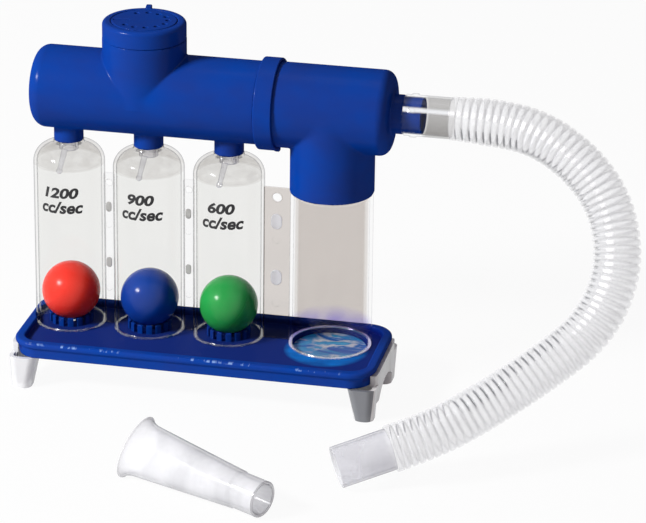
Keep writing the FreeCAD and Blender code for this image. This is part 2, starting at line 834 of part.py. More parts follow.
def mouthpiece():
    """Flattened mouth end with a lip, blended to a shoulder and a round end that plugs into the hose."""
    shoulder = 2 * (mouth_tip_r + mouth_shoulder)
    body_end = mouth_length - mouth_tip_length
    third = mouth_lip_depth / 3
    lip = Part.makeLoft(
        [
            oval(mouth_lip_width, mouth_lip_height, 0, mouth_lip_round),
            oval(mouth_lip_width, mouth_lip_height, third, 0),
            oval(mouth_lip_width, mouth_lip_height, 2 * third, mouth_lip_round / 2),
            oval(mouth_width, mouth_height, 3 * third, mouth_wall / 2),
        ],
        True,
    )
    taper = Part.makeLoft(
        [oval(mouth_width, mouth_height, 0, 0), oval(shoulder, shoulder, body_end, 0)],
        True,
    )
    end = Part.makeCylinder(mouth_tip_r, mouth_tip_length + past, V(body_end - past, 0, 0), RIGHT)
    solid = joined(taper, lip, end)
    bore = Part.makeLoft(
        [oval(mouth_width, mouth_height, -past, mouth_wall), oval(shoulder, shoulder, body_end, mouth_wall)],
        True,
    )
    bore_length = mouth_tip_length + 2 * past
    bore_end = Part.makeCylinder(mouth_tip_r - mouth_wall, bore_length, V(body_end - past, 0, 0), RIGHT)
    solid = solid.cut(bore).cut(bore_end)
    solid.translate(V(-mouth_length, 0, 0))
    solid.rotate(V(0, 0, 0), RIGHT, mouth_roll)
    lip_drop = -solid.optimalBoundingBox().ZMin
    pitch = math.degrees(math.asin((lip_drop - mouth_tip_r) / mouth_length))
    solid.rotate(V(0, 0, 0), BACK, pitch)
    solid.rotate(V(0, 0, 0), UP, mouth_heading + 180)
    lift = -solid.optimalBoundingBox().ZMin
    solid.translate(V(mouth_tip_x, mouth_tip_y, lift))
    print("mouthpiece tip at", V(mouth_tip_x, mouth_tip_y, lift), "pitch", pitch)
    return solid


def build():
    """Every node of the part by name."""
    nodes = {
        "base_tray": base_tray(),
        "trap_disc": trap_disc(),
        "leg_frame_left": leg_frame(-1),
        "leg_frame_right": leg_frame(1),
        "chamber_front": chamber_half(-1),
        "chamber_rear": chamber_half(1),
        "manifold_tube": manifold_tube(),
        "manifold_tee": manifold_tee(),
        "vent_plate": vent_plate(),
        "dial": dial(),
        "dial_clip": dial_clip(),
        "hose": hose(),
        "hose_cuff_near": hose_cuff_near(),
        "hose_cuff_far": hose_cuff_far(),
        "mouthpiece": mouthpiece(),
    }
    for name, x in zip(ball_names, tube_xs):
        nodes["ball_" + name] = ball(x)
        nodes["ball_stop_" + name] = ball_stop(x)
    return nodes


os.makedirs("parts", exist_ok=True)
for node, shape in build().items():
    shape.exportStep("parts/" + node + ".step")
    box = shape.BoundBox
    print(node, "solids", len(shape.Solids), "valid", shape.isValid(), "volume", round(shape.Volume), end=" ")
    print("x %.1f %.1f y %.1f %.1f z %.1f %.1f" % (box.XMin, box.XMax, box.YMin, box.YMax, box.ZMin, box.ZMax))
print("ball rise %.2f mm, ball centre %.2f mm" % (ball_top_z - ball_z, ball_z))
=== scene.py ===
"""Looks of a flow incentive spirometer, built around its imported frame.

Sizes in the classes are millimetres in the frame's own axes: X along the manifold towards the hose,
Y to the rear and Z up, with the table at Z 0. Meshes are written in metres.
"""

import json
import logging
import math
from collections.abc import Callable
from dataclasses import dataclass, field
from enum import Enum

import bmesh
import bpy
import numpy as np
from mathutils import Matrix, Vector

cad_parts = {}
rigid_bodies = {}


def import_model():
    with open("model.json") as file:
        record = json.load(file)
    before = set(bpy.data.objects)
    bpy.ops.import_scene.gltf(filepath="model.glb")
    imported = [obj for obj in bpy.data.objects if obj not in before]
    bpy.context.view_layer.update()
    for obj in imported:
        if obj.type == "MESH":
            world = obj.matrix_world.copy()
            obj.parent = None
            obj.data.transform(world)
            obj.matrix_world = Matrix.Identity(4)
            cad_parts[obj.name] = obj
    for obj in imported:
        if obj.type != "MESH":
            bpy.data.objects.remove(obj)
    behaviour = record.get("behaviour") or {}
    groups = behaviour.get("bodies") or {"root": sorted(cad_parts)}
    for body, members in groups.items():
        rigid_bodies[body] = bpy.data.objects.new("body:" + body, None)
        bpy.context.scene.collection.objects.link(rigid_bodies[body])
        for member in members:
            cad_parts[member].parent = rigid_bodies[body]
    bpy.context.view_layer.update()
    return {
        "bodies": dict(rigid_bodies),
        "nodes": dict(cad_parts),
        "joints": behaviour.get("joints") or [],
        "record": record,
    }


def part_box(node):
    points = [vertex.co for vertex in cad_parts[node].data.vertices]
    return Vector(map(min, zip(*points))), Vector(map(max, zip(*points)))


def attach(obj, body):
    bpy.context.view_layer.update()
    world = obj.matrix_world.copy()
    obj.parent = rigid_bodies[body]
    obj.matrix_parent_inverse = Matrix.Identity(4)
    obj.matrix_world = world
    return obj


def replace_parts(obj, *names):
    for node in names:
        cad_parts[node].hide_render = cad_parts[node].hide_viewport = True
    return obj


log = logging.getLogger("spirometer")

MM = 0.001
IMAGE_WIDTH = 646
SENSOR_WIDTH = 36.0

BALL_NAMES = ("1200", "900", "600")
WHITE = (1.0, 1.0, 1.0)
PAST = 5.0  # how far a cut reaches past what it cuts
CORNER_SHARE = 0.45  # most of a side that the curve at one of its corners may take
PLASTIC_IOR = 1.5

Array = np.ndarray
Field = Callable[[Array, Array, Array], Array]
Triple = tuple[float, float, float]
Colour = Triple | bpy.types.NodeSocket


class Body(Enum):
    """Bodies of the frame that pieces ride on."""

    STAND = "stand"
    DIAL = "dial"
    MOUTHPIECE = "mouthpiece"


class Axis(Enum):
    """Axis of a turned shape, by its place in a point."""

    X = 0
    Z = 2


@dataclass(frozen=True)
class Span:
    """Lowest and highest corner of a CAD node, in millimetres."""

    low: Array
    high: Array

    @classmethod
    def of(cls, node: str) -> "Span":
        """Corners of the named node at rest."""
        low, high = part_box(node)
        return cls(np.array(low) / MM, np.array(high) / MM)

    @property
    def middle(self) -> Array:
        """Point half way between the corners."""
        return (self.low + self.high) / 2

    @property
    def size(self) -> Array:
        """Lengths along the three axes."""
        return self.high - self.low


# Meshes


def weighted_normals(mesh: bpy.types.Mesh) -> Array:
    """Vertex normals as the sum of the crossed edges of each triangle, so that large faces lead.

    Args:
        mesh: A finished mesh.

    Returns:
        One unit normal per vertex.
    """
    mesh.calc_loop_triangles()
    corners = np.zeros(len(mesh.loop_triangles) * 3, np.int32)
    mesh.loop_triangles.foreach_get("vertices", corners)
    corners = corners.reshape(-1, 3)
    places = np.zeros(len(mesh.vertices) * 3)
    mesh.vertices.foreach_get("co", places)
    a, b, c = (places.reshape(-1, 3)[corners[:, i]] for i in range(3))
    crossed = np.cross(b - a, c - a)
    normals = np.zeros((len(mesh.vertices), 3))
    for i in range(3):
        np.add.at(normals, corners[:, i], crossed)
    return normals / np.maximum(np.linalg.norm(normals, axis=1, keepdims=True), 1e-30)


def make_piece(
    name: str,
    points: Array,
    faces: Array,
    normals: Array | None = None,
    values: dict[str, Array] | None = None,
) -> bpy.types.Object:
    """Object from points in millimetres and faces, smooth, with its place in its mesh.

    Args:
        name: Name of the piece.
        points: One row of three numbers per vertex.
        faces: One row of vertex numbers per face.
        normals: Exact vertex normals, or None to weigh them by area.
        values: Values that the mesh carries, one per vertex, for its material.

    Returns:
        The linked object, at the origin.
    """
    mesh = bpy.data.meshes.new(name)
    corners = faces.shape[1]
    mesh.vertices.add(len(points))
    mesh.vertices.foreach_set("co", (points * MM).astype(np.float32).ravel())
    mesh.loops.add(faces.size)
    mesh.loops.foreach_set("vertex_index", faces.astype(np.int32).ravel())
    mesh.polygons.add(len(faces))
    mesh.polygons.foreach_set("loop_start", np.arange(0, faces.size, corners, dtype=np.int32))
    mesh.update(calc_edges=True)
    for title, numbers in (values or {}).items():
        carried = mesh.attributes.new(title, "FLOAT", "POINT")
        carried.data.foreach_set("value", np.asarray(numbers, np.float32))
    if normals is None:
        merge(mesh)
        normals = weighted_normals(mesh)
    mesh.shade_smooth()
    mesh.normals_split_custom_set_from_vertices(normals.tolist())
    piece = bpy.data.objects.new(name, mesh)
    bpy.context.scene.collection.objects.link(piece)
    return piece


def merge(mesh: bpy.types.Mesh) -> None:
    """Closes seams and poles by joining points that lie in the same place."""
    work = bmesh.new()
    work.from_mesh(mesh)
    bmesh.ops.remove_doubles(work, verts=work.verts, dist=1e-6)
    bmesh.ops.recalc_face_normals(work, faces=work.faces)
    work.to_mesh(mesh)
    work.free()


def grid_faces(rows: int, columns: int) -> Array:
    """Quads between neighbouring rows and columns of a grid of points."""
    number = np.arange(rows * columns).reshape(rows, columns)
    quads = (number[:-1, :-1], number[1:, :-1], number[1:, 1:], number[:-1, 1:])
    return np.stack(quads, axis=-1).reshape(-1, 4)


def softened(profile: list[tuple[float, float]], radius: float, steps: int = 4) -> Array:
    """Closed outline whose corners are quadratic curves that start a radius before each corner.

    A corner P with curve ends A and B gives (1-t)^2 A + 2t(1-t) P + t^2 B.

    Args:
        profile: Corners in order.
        radius: Reach of the curve along each side, held to CORNER_SHARE of the side.
        steps: Points in each curve.

    Returns:
        Points of the outline, the first repeated at the end.
    """
    corner = np.array(profile, float)
    back = np.roll(corner, 1, axis=0) - corner
    ahead = np.roll(corner, -1, axis=0) - corner
    reach_back = np.minimum(radius / np.linalg.norm(back, axis=1), CORNER_SHARE)[:, None]
    reach_ahead = np.minimum(radius / np.linalg.norm(ahead, axis=1), CORNER_SHARE)[:, None]
    start = (corner + back * reach_back)[:, None]
    end = (corner + ahead * reach_ahead)[:, None]
    t = np.linspace(0, 1, steps)[None, :, None]
    curve = (1 - t) ** 2 * start + 2 * t * (1 - t) * corner[:, None] + t**2 * end
    outline = curve.reshape(-1, 2)
    return np.vstack([outline, outline[:1]])


def turned(profile: Array, centre: Array, axis: Axis, arc: tuple[float, float], columns: int) -> Array:
    """Profile of radius and height carried round an axis: (r cos a, r sin a, h) on a grid.

    Args:
        profile: Rows of radius and height along the axis.
        centre: A point of the axis.
        axis: Direction of the axis.
        arc: First and last angle, in degrees.
        columns: Points round the arc.

    Returns:
        Points as (rows, columns, 3).
    """
    angle = np.radians(np.linspace(arc[0], arc[1], columns))[None, :]
    radius, height = profile[:, :1], profile[:, 1:]
    first = radius * np.cos(angle)
    second = radius * np.sin(angle)
    along = height + 0 * angle
    parts = (first, second, along) if axis is Axis.Z else (along, first, second)
    return np.stack(parts, axis=-1) + np.asarray(centre, float)


def lathe(
    name: str, profile: Array, centre: Array, axis: Axis = Axis.Z, columns: int = 97
) -> bpy.types.Object:
    """Whole turned piece from a closed profile."""
    points = turned(profile, centre, axis, (0, 360), columns)
    return make_piece(name, points.reshape(-1, 3), grid_faces(*points.shape[:2]))


# Solids given by distance


def cylinder(
    radial: Array, along: Array, radius: float, low: float, high: float, rounding: float = 0.0
) -> Array:
    """Distance to a cylinder with rounded rims, from the distance to its axis and the place along it."""
    side = radial - radius + rounding
    end = np.maximum(low - along, along - high) + rounding
    outside = np.hypot(np.maximum(side, 0), np.maximum(end, 0))
    return np.minimum(np.maximum(side, end), 0) + outside - rounding


def slab(x: Array, y: Array, half_x: float, half_y: float, corner: float) -> Array:
    """Distance to a rectangle with round corners about the origin."""
    a = np.abs(x) - half_x + corner
    b = np.abs(y) - half_y + corner
    return np.minimum(np.maximum(a, b), 0) + np.hypot(np.maximum(a, 0), np.maximum(b, 0)) - corner


def extruded(flat: Array, z: Array, low: float, high: float, rounding: float = 0.0) -> Array:
    """Distance to a flat shape drawn out between two heights, with rounded edges."""
    side = flat + rounding
    end = np.maximum(low - z, z - high) + rounding
    outside = np.hypot(np.maximum(side, 0), np.maximum(end, 0))
    return np.minimum(np.maximum(side, end), 0) + outside - rounding


def blended(a: Array, b: Array, k: float) -> Array:
    """Union of two distances with a fillet: their smaller value, less k h (1 - h) where they are near."""
    h = np.clip(0.5 + 0.5 * (b - a) / k, 0, 1)
    return b * (1 - h) + a * h - k * h * (1 - h)


def carved(a: Array, b: Array, k: float = 0.3) -> Array:
    """Distance a with the shape of b cut out, its edge softened by k."""
    return -blended(-a, b, k)


@dataclass(frozen=True)
class Solid:
    """Closed surface where a distance field is zero, found on a cubic grid.

    Each grid cell that the surface crosses holds one point, the mean of the crossings of its edges.
    Each crossed grid edge gives one quad between its four cells. The points then move along the
    gradient until the distance there is zero, and the gradient is their normal.

    Attributes:
        distance: The field in millimetres, negative inside.
        low: Lowest corner of the searched box.
        high: Highest corner of the searched box.
        cell: Length of a cell's side.
    """

    distance: Field
    low: Array
    high: Array
    cell: float

    def gradient(self, p: Array) -> Array:
        """Slope of the field at points, by differences."""
        h = self.cell / 20
        slopes = []
        for step in np.eye(3) * h:
            slopes.append(self.distance(*(p + step).T) - self.distance(*(p - step).T))
        return np.stack(slopes, axis=-1) / (2 * h)

    def surface(self) -> tuple[Array, Array]:
        """Points on a grid's cells and the quads between them."""
        low = np.asarray(self.low, float) - 1.5 * self.cell
        count = np.ceil((np.asarray(self.high) + 1.5 * self.cell - low) / self.cell).astype(int) + 1
        lines = [low[i] + self.cell * np.arange(count[i]) for i in range(3)]
        x, y, z = np.meshgrid(*lines, indexing="ij")
        value = self.distance(x, y, z)
        inside = value < 0
        number = np.full(count - 1, -1)
        corners = np.zeros(count - 1, int)
        for i, j, k in np.ndindex(2, 2, 2):
            corners += inside[i : count[0] - 1 + i, j : count[1] - 1 + j, k : count[2] - 1 + k]
        active = (corners > 0) & (corners < 8)
        number[active] = np.arange(active.sum())
        total = np.zeros((active.sum(), 3))
        hits = np.zeros(active.sum())
        faces = []
        for axis in range(3):
            step = np.eye(3, dtype=int)[axis]
            first, second = np.eye(3, dtype=int)[(axis + 1) % 3], np.eye(3, dtype=int)[(axis + 2) % 3]
            a = value[: count[0] - step[0], : count[1] - step[1], : count[2] - step[2]]
            b = value[step[0] :, step[1] :, step[2] :]
            edge = np.argwhere((a < 0) != (b < 0))
            start = a[tuple(edge.T)]
            share = start / (start - b[tuple(edge.T)])
            crossing = edge + share[:, None] * step
            around = [edge, edge - first, edge - first - second, edge - second]
            cells = np.stack([number[tuple(c.T)] for c in around], axis=-1)
            for column in cells.T:
                np.add.at(total, column, crossing)
                np.add.at(hits, column, 1)
            faces.append(np.where((start < 0)[:, None], cells, cells[:, ::-1]))
        return low + self.cell * total / hits[:, None], np.vstack(faces)

    def piece(self, name: str) -> bpy.types.Object:
        """Object with the surface, drawn onto the zero of the field."""
        points, faces = self.surface()
        for _ in range(4):
            slope = self.gradient(points)
            size = np.maximum((slope**2).sum(axis=1), 0.05)
            move = (self.distance(*points.T) / size)[:, None] * slope
            points = points - np.clip(move, -self.cell / 2, self.cell / 2)
        slope = self.gradient(points)
        normals = slope / np.maximum(np.linalg.norm(slope, axis=1, keepdims=True), 1e-9)
        return make_piece(name, points, faces, normals)


# Materials


@dataclass(frozen=True)
class Value:
    """A socket of numbers in a material. Sums and products of it add Math nodes."""

    net: "Net"
    socket: bpy.types.NodeSocket

    def __add__(self, other: "Value | float") -> "Value":
        """Sum."""
        return self.net.math("ADD", self, other)

    def __sub__(self, other: "Value | float") -> "Value":
        """Difference."""
        return self.net.math("SUBTRACT", self, other)

    def __rsub__(self, other: float) -> "Value":
        """Difference from a number."""
        return self.net.math("SUBTRACT", other, self)

    def __mul__(self, other: "Value | float") -> "Value":
        """Product."""
        return self.net.math("MULTIPLY", self, other)

    def __pow__(self, other: float) -> "Value":
        """Power."""
        return self.net.math("POWER", self, other)

    __radd__ = __add__
    __rmul__ = __mul__

    def band(self, low: float, high: float) -> "Value":
        """0 below low, 1 above high, and even in between."""
        made = self.net.node("ShaderNodeMapRange", {"clamp": True}, Value=self)
        made.inputs["From Min"].default_value = low
        made.inputs["From Max"].default_value = high
        return Value(self.net, made.outputs[0])

    def below(self, low: float, high: float) -> "Value":
        """1 below low, 0 above high, and even in between."""
        return 1 - self.band(low, high)

    def near(self, at: float, full: float, end: float) -> "Value":
        """1 within the distance full of a value, and 0 from the distance end on."""
        return self.net.math("ABSOLUTE", self - at).below(full, end)


class Net:
    """Node tree of one material, with the surface shader's settings."""

    def __init__(self, name: str) -> None:
        """Makes an empty material."""
        self.material = bpy.data.materials.new(name)
        self.material.use_nodes = True
        self.tree = self.material.node_tree
        self.tree.nodes.clear()
        self.output = self.tree.nodes.new("ShaderNodeOutputMaterial")
        place = self.tree.nodes.new("ShaderNodeTexCoord")
        self.object_place = place.outputs["Object"]

    def node(
        self, kind: str, settings: dict[str, object] | None = None, **inputs: object
    ) -> bpy.types.Node:
        """Adds a node.

        Args:
            kind: Blender's name for the node.
            settings: Properties to set first.
            inputs: Values or links, by the socket's name with underscores for spaces.

        Returns:
            The node.
        """
        made = self.tree.nodes.new(kind)
        for key, value in (settings or {}).items():
            setattr(made, key, value)
        for key, value in inputs.items():
            self.feed(made.inputs[key.replace("_", " ")], value)
        return made

    def feed(self, socket: bpy.types.NodeSocket, value: object) -> None:
        """Links a socket, or sets its value."""
        source = value.socket if isinstance(value, Value) else value
        if isinstance(source, bpy.types.NodeSocket):
            self.tree.links.new(source, socket)
        else:
            socket.default_value = source

    def math(self, operation: str, *values: "Value | float") -> Value:
        """Math node on one or two values."""
        made = self.node("ShaderNodeMath", {"operation": operation})
        for socket, value in zip(made.inputs, values):
            self.feed(socket, value)
        return Value(self, made.outputs[0])

    def place(self, scale: Triple = (1, 1, 1)) -> bpy.types.NodeSocket:
        """The object's coordinates in metres, stretched."""
        if scale == (1, 1, 1):
            return self.object_place
        made = self.node("ShaderNodeMapping", Vector=self.object_place, Scale=scale)
        return made.outputs[0]

    def noise(self, scale: float, detail: float = 2.0, stretch: Triple = (1, 1, 1)) -> Value:
        """Noise from 0 to 1, with scale in waves per metre."""
        made = self.node("ShaderNodeTexNoise", Vector=self.place(stretch), Scale=scale, Detail=detail)
        return Value(self, made.outputs[0])

    def flow(self) -> Value:
        """Slow flow of tone that moulding leaves, 0 to 1."""
        return self.noise(35.0, 3.0, (1, 1, 1.6)).band(0.35, 0.7)

    def handled(self, roughness: float) -> Value:
        """Roughness with the patches that handling has dulled."""
        return roughness + self.noise(260.0, 4.0, (1, 2, 2)).band(0.45, 0.75) * 0.07

    def axis(self, name: str) -> Value:
        """One of the object's coordinates, in metres."""
        made = self.node("ShaderNodeSeparateXYZ", Vector=self.object_place)
        return Value(self, made.outputs[name])

    def facing(self, blend: float) -> Value:
        """How much the surface turns away from the view, 0 to 1."""
        made = self.node("ShaderNodeLayerWeight", Blend=blend)
        return Value(self, made.outputs["Facing"])

    def tint(self, amount: Value, low: Colour, high: Colour) -> bpy.types.NodeSocket:
        """Colour between two colours, by an amount."""
        made = self.node("ShaderNodeMix", {"data_type": "RGBA"})
        for number, value in ((0, amount), (6, low), (7, high)):
            self.feed(made.inputs[number], (*value, 1) if isinstance(value, tuple) else value)
        return made.outputs[2]

    def own(self, name: str) -> Value:
        """A value that the mesh carries at its points."""
        made = self.node("ShaderNodeAttribute", {"attribute_name": name})
        return Value(self, made.outputs["Fac"])

    def bump(self, height: Value, distance: float, strength: float = 1.0) -> bpy.types.NodeSocket:
        """Normal bent by a height, whose full step is distance in metres."""
        made = self.node("ShaderNodeBump", Height=height, Distance=distance, Strength=strength)
        return made.outputs[0]

    def mixed(
        self, share: "Value | float", first: bpy.types.NodeSocket, second: bpy.types.NodeSocket
    ) -> bpy.types.NodeSocket:
        """Two surfaces mixed, with the share of the second."""
        made = self.node("ShaderNodeMixShader")
        for socket, value in zip(made.inputs, (share, first, second)):
            self.feed(socket, value)
        return made.outputs[0]

    def polished(
        self, surface: bpy.types.NodeSocket, rough: Value, normal: bpy.types.NodeSocket, share: float
    ) -> bpy.types.NodeSocket:
        """A surface under an even, faint mirror, which a deep colour keeps at every angle."""
        if share == 0:
            return surface
        mirror = self.shader(Base_Color=(*WHITE, 1), Metallic=1.0, Roughness=rough, Normal=normal)
        return self.mixed(share, surface, mirror)

    def clear(self, colour: Triple) -> bpy.types.NodeSocket:
        """Surface that lets light straight through, in a colour."""
        return self.node("ShaderNodeBsdfTransparent", Color=(*colour, 1)).outputs[0]

    def shader(self, **inputs: object) -> bpy.types.NodeSocket:
        """Principled surface."""
        return self.node("ShaderNodeBsdfPrincipled", **inputs).outputs[0]

    def finish(self, surface: bpy.types.NodeSocket) -> bpy.types.Material:
        """Links the surface and gives the material."""
        self.tree.links.new(surface, self.output.inputs["Surface"])
        return self.material


def linear(red: int, green: int, blue: int) -> Triple:
    """Linear colour from screen values of 0 to 255."""
    parts = (np.array([red, green, blue]) / 255 + 0.055) / 1.055
    return tuple(float(v) for v in parts**2.4)


@dataclass(frozen=True)
class GlossPlastic:
    """Opaque injection moulded plastic with a faint flow of tone and the slight waviness of a mould.

    Attributes:
        name: Name of the material.
        light: Colour, linear.
        deep: Colour of its darker flow.
        roughness: Middle roughness.
        gloss: Strength of the mirror share, where 0.5 is plain plastic.
        waviness: Height of the slow waves in metres.
        seam: Middle of a ball in millimetres whose two halves meet in a fine seam, or None.
        seam_normal: Direction across the seam's plane.
        seam_depth: Depth of the seam in metres.
        seam_width: Half its width in metres.
        glow: Share of light that spreads inside a thin hollow wall.
        polish: Share of an even mirror over it.
    """

    name: str
    light: Triple
    deep: Triple
    roughness: float = 0.2
    gloss: float = 0.5
    waviness: float = 0.00002
    seam: Triple | None = None
    seam_normal: Triple = (0.187, -0.9075, 0.376)
    seam_depth: float = 0.00012
    seam_width: float = 0.0003
    glow: float = 0.0
    polish: float = 0.0

    def material(self) -> bpy.types.Material:
        """Builds the nodes."""
        net = Net(self.name)
        pores = net.noise(2600.0, 2.0) * 0.0000012
        height = net.noise(90.0, 2.0, (0.6, 1, 1)) * self.waviness + pores
        if self.seam is not None:
            height = height + self.seam_line(net) * self.seam_depth
        normal = net.bump(height, 1.0)
        rough = net.handled(self.roughness)
        surface = net.shader(
            Base_Color=net.tint(net.flow(), self.deep, self.light),
            Roughness=rough,
            IOR=PLASTIC_IOR,
            Specular_IOR_Level=self.gloss,
            Subsurface_Weight=self.glow,
            Subsurface_Radius=(0.008, 0.003, 0.002),
            Subsurface_Scale=1.0,
            Normal=normal,
        )
        return net.finish(net.polished(surface, rough, normal, self.polish))

    def seam_line(self, net: Net) -> Value:
        """1 away from the seam's plane and 0 on it: the distance is (p - middle) . normal."""
        across = [net.axis(name) * float(n) for name, n in zip("XYZ", self.seam_normal)]
        offset = float(np.dot(self.seam, self.seam_normal)) * MM
        distance = across[0] + across[1] + across[2] - offset
        return net.math("ABSOLUTE", distance).band(0.0, self.seam_width)


@dataclass(frozen=True)
class ClearPlastic:
    """Clear or milky wall: light goes straight through it, tinted, apart from a share that it scatters.

    The share rises where the wall is seen edge on, and there the wall darkens. A clear wall's share is
    gloss and a milky wall's share is white plastic.

    Attributes:
        name: Name of the material.
        through: What one surface lets through, linear.
        colour: Colour of the scattered share, linear.
        edge: Its colour where the wall is seen edge on.
        face: Share where the wall faces the eye, 0 to 1.
        rim: Share where it is seen edge on.
        edge_from: Turn from the eye at which the edge begins, 0 to 1.
        edge_full: Turn at which it is full.
        metallic: 1 for clear gloss and 0 for milky plastic.
        roughness: Middle roughness.
        pale_from: Turn from the eye beyond which the wall is paler, or None.
        pale: What the paler wall lets through.
        foot: Height in metres below which the wall's cut end carries a painted white highlight, or None.
        foot_highlight_share: Share of that painted highlight.
        dome: Height in metres above which the thick dome greys what is behind it, or None.
        domed: What the dome lets through.
        tray_reflection: What the rear wall lets through near its foot, a painted reflection of the tray, or
            None.
        tray_reflection_top: Height in metres at which that ends.
        tray_reflection_fade: Height over which it fades, in metres.
        shaded: Colour of a painted shade on the front wall, or None.
        shaded_to: Y in metres at which the front wall ends.
        smoky_from: X in metres from which the wall is smoky, or None.
        smoky: What the smoky wall lets through.
        smoky_low: Heights in metres below and above which it is all and half smoky.
        painted_highlight_at: Height in metres of the painted highlight line on a smoky wall.
        ripple: Height of the mould's waves in metres.
    """

    name: str
    through: Triple
    colour: Triple
    edge: Triple
    face: float
    rim: float
    edge_from: float = 0.6
    edge_full: float = 0.9
    metallic: float = 1.0
    roughness: float = 0.07
    pale_from: float | None = None
    pale: Triple = (0.985, 0.985, 0.985)
    foot: float | None = None
    foot_highlight_share: float = 0.28
    dome: float | None = None
    domed: Triple = (0.84, 0.83, 0.82)
    tray_reflection: Triple | None = None
    tray_reflection_top: float = 0.0335
    tray_reflection_fade: float = 0.009
    shaded: Triple | None = None
    shaded_to: float = -0.0378
    smoky_from: float | None = None
    smoky: Triple = (0.74, 0.735, 0.73)
    smoky_low: tuple[float, float] = (0.131, 0.142)
    painted_highlight_at: float = 0.1453
    ripple: float = 0.00002

    def material(self) -> bpy.types.Material:
        """Builds the nodes."""
        net = Net(self.name)
        turn = net.facing(0.5)
        edge_on = turn.band(self.edge_from, self.edge_full)
        streaks = net.noise(60.0, 3.0, (1, 1, 0.15)).band(0.4, 0.7)
        height = net.noise(140.0, 2.0, (1, 1, 0.4)) * self.ripple
        share = self.face + streaks * (self.face * 0.5) + edge_on * (self.rim - self.face)
        share, colour = self.scattered(net, share, net.tint(edge_on, self.colour, self.edge))
        body = net.shader(
            Base_Color=colour,
            Metallic=self.metallic,
            Roughness=self.roughness + streaks * 0.05,
            IOR=PLASTIC_IOR,
            Normal=net.bump(height, 1.0),
        )
        return net.finish(net.mixed(share, self.seen_through(net, turn), body))

    def scattered(self, net: Net, share: Value, colour: Colour) -> tuple[Value, Colour]:
        """Adds the painted highlight on the foot, the painted shade on the front wall and the painted
        highlight line on a smoky wall.

        Args:
            net: The material's nodes.
            share: Share of the light that the plain wall scatters.
            colour: Its colour.

        Returns:
            The share and the colour with them.
        """
        if self.foot is not None:
            # Painted highlight: the wall's cut end shows white.
            painted_foot_highlight = net.axis("Z").below(self.foot, self.foot + 0.0005)
            share = net.math("MAXIMUM", share, painted_foot_highlight * self.foot_highlight_share)
            colour = net.tint(painted_foot_highlight, colour, WHITE)
        if self.shaded is not None:
            # Painted shade: the front wall is darker, as in shadow.
            front = net.axis("Y").below(self.shaded_to - 0.0002, self.shaded_to)
            colour = net.tint(front, colour, self.shaded)
            share = net.math("MAXIMUM", share, front * 0.95)
        if self.smoky_from is not None:
            front = net.axis("Y").below(-0.001, 0.0)
            # Painted highlight: a white line along the front of a smoky wall.
            painted_highlight = net.axis("Z").near(self.painted_highlight_at, 0.0003, 0.0012)
            share = net.math("MAXIMUM", share, painted_highlight * front * 0.9)
        return share, colour

    def seen_through(self, net: Net, turn: Value) -> bpy.types.NodeSocket:
        """Light that goes straight through, with the tints of the wall's own parts.

        Args:
            net: The material's nodes.
            turn: How much the wall turns away from the eye.

        Returns:
            The see-through surface.
        """
        surface = net.clear(self.through)
        if self.pale_from is not None:
            pale = turn.band(self.pale_from, self.pale_from + 0.08)
            surface = net.mixed(pale, surface, net.clear(self.pale))
        if self.tray_reflection is not None:
            # Painted reflection: the blue tray seen in the rear wall near its foot.
            low = net.axis("Z").below(self.tray_reflection_top - self.tray_reflection_fade, self.tray_reflection_top)
            rear = net.axis("Y").band(0.0, 0.002)
            swirl = net.noise(90.0, 2.0, (1, 1, 0.6)).band(0.35, 0.55)
            reflected = low * rear * (swirl * 0.5 + 0.5)
            surface = net.mixed(reflected, surface, net.clear(self.tray_reflection))
        if self.smoky_from is not None:
            far = net.axis("X").band(self.smoky_from, self.smoky_from + 0.001)
            low = net.axis("Z").below(*self.smoky_low)
            surface = net.mixed(far * (low * 0.45 + 0.55), surface, net.clear(self.smoky))
        if self.dome is not None:
            height = net.axis("Z")
            cloud = net.noise(170.0, 2.0, (1, 1, 1.8)).band(0.3, 0.7) * 0.5 + 0.35
            line = height.near(self.dome, 0.0001, 0.0004)
            above = height.band(self.dome, self.dome + 0.0003)
            grey = net.math("MAXIMUM", above * cloud, line * 0.9)
            surface = net.mixed(grey, surface, net.clear(self.domed))
        return surface


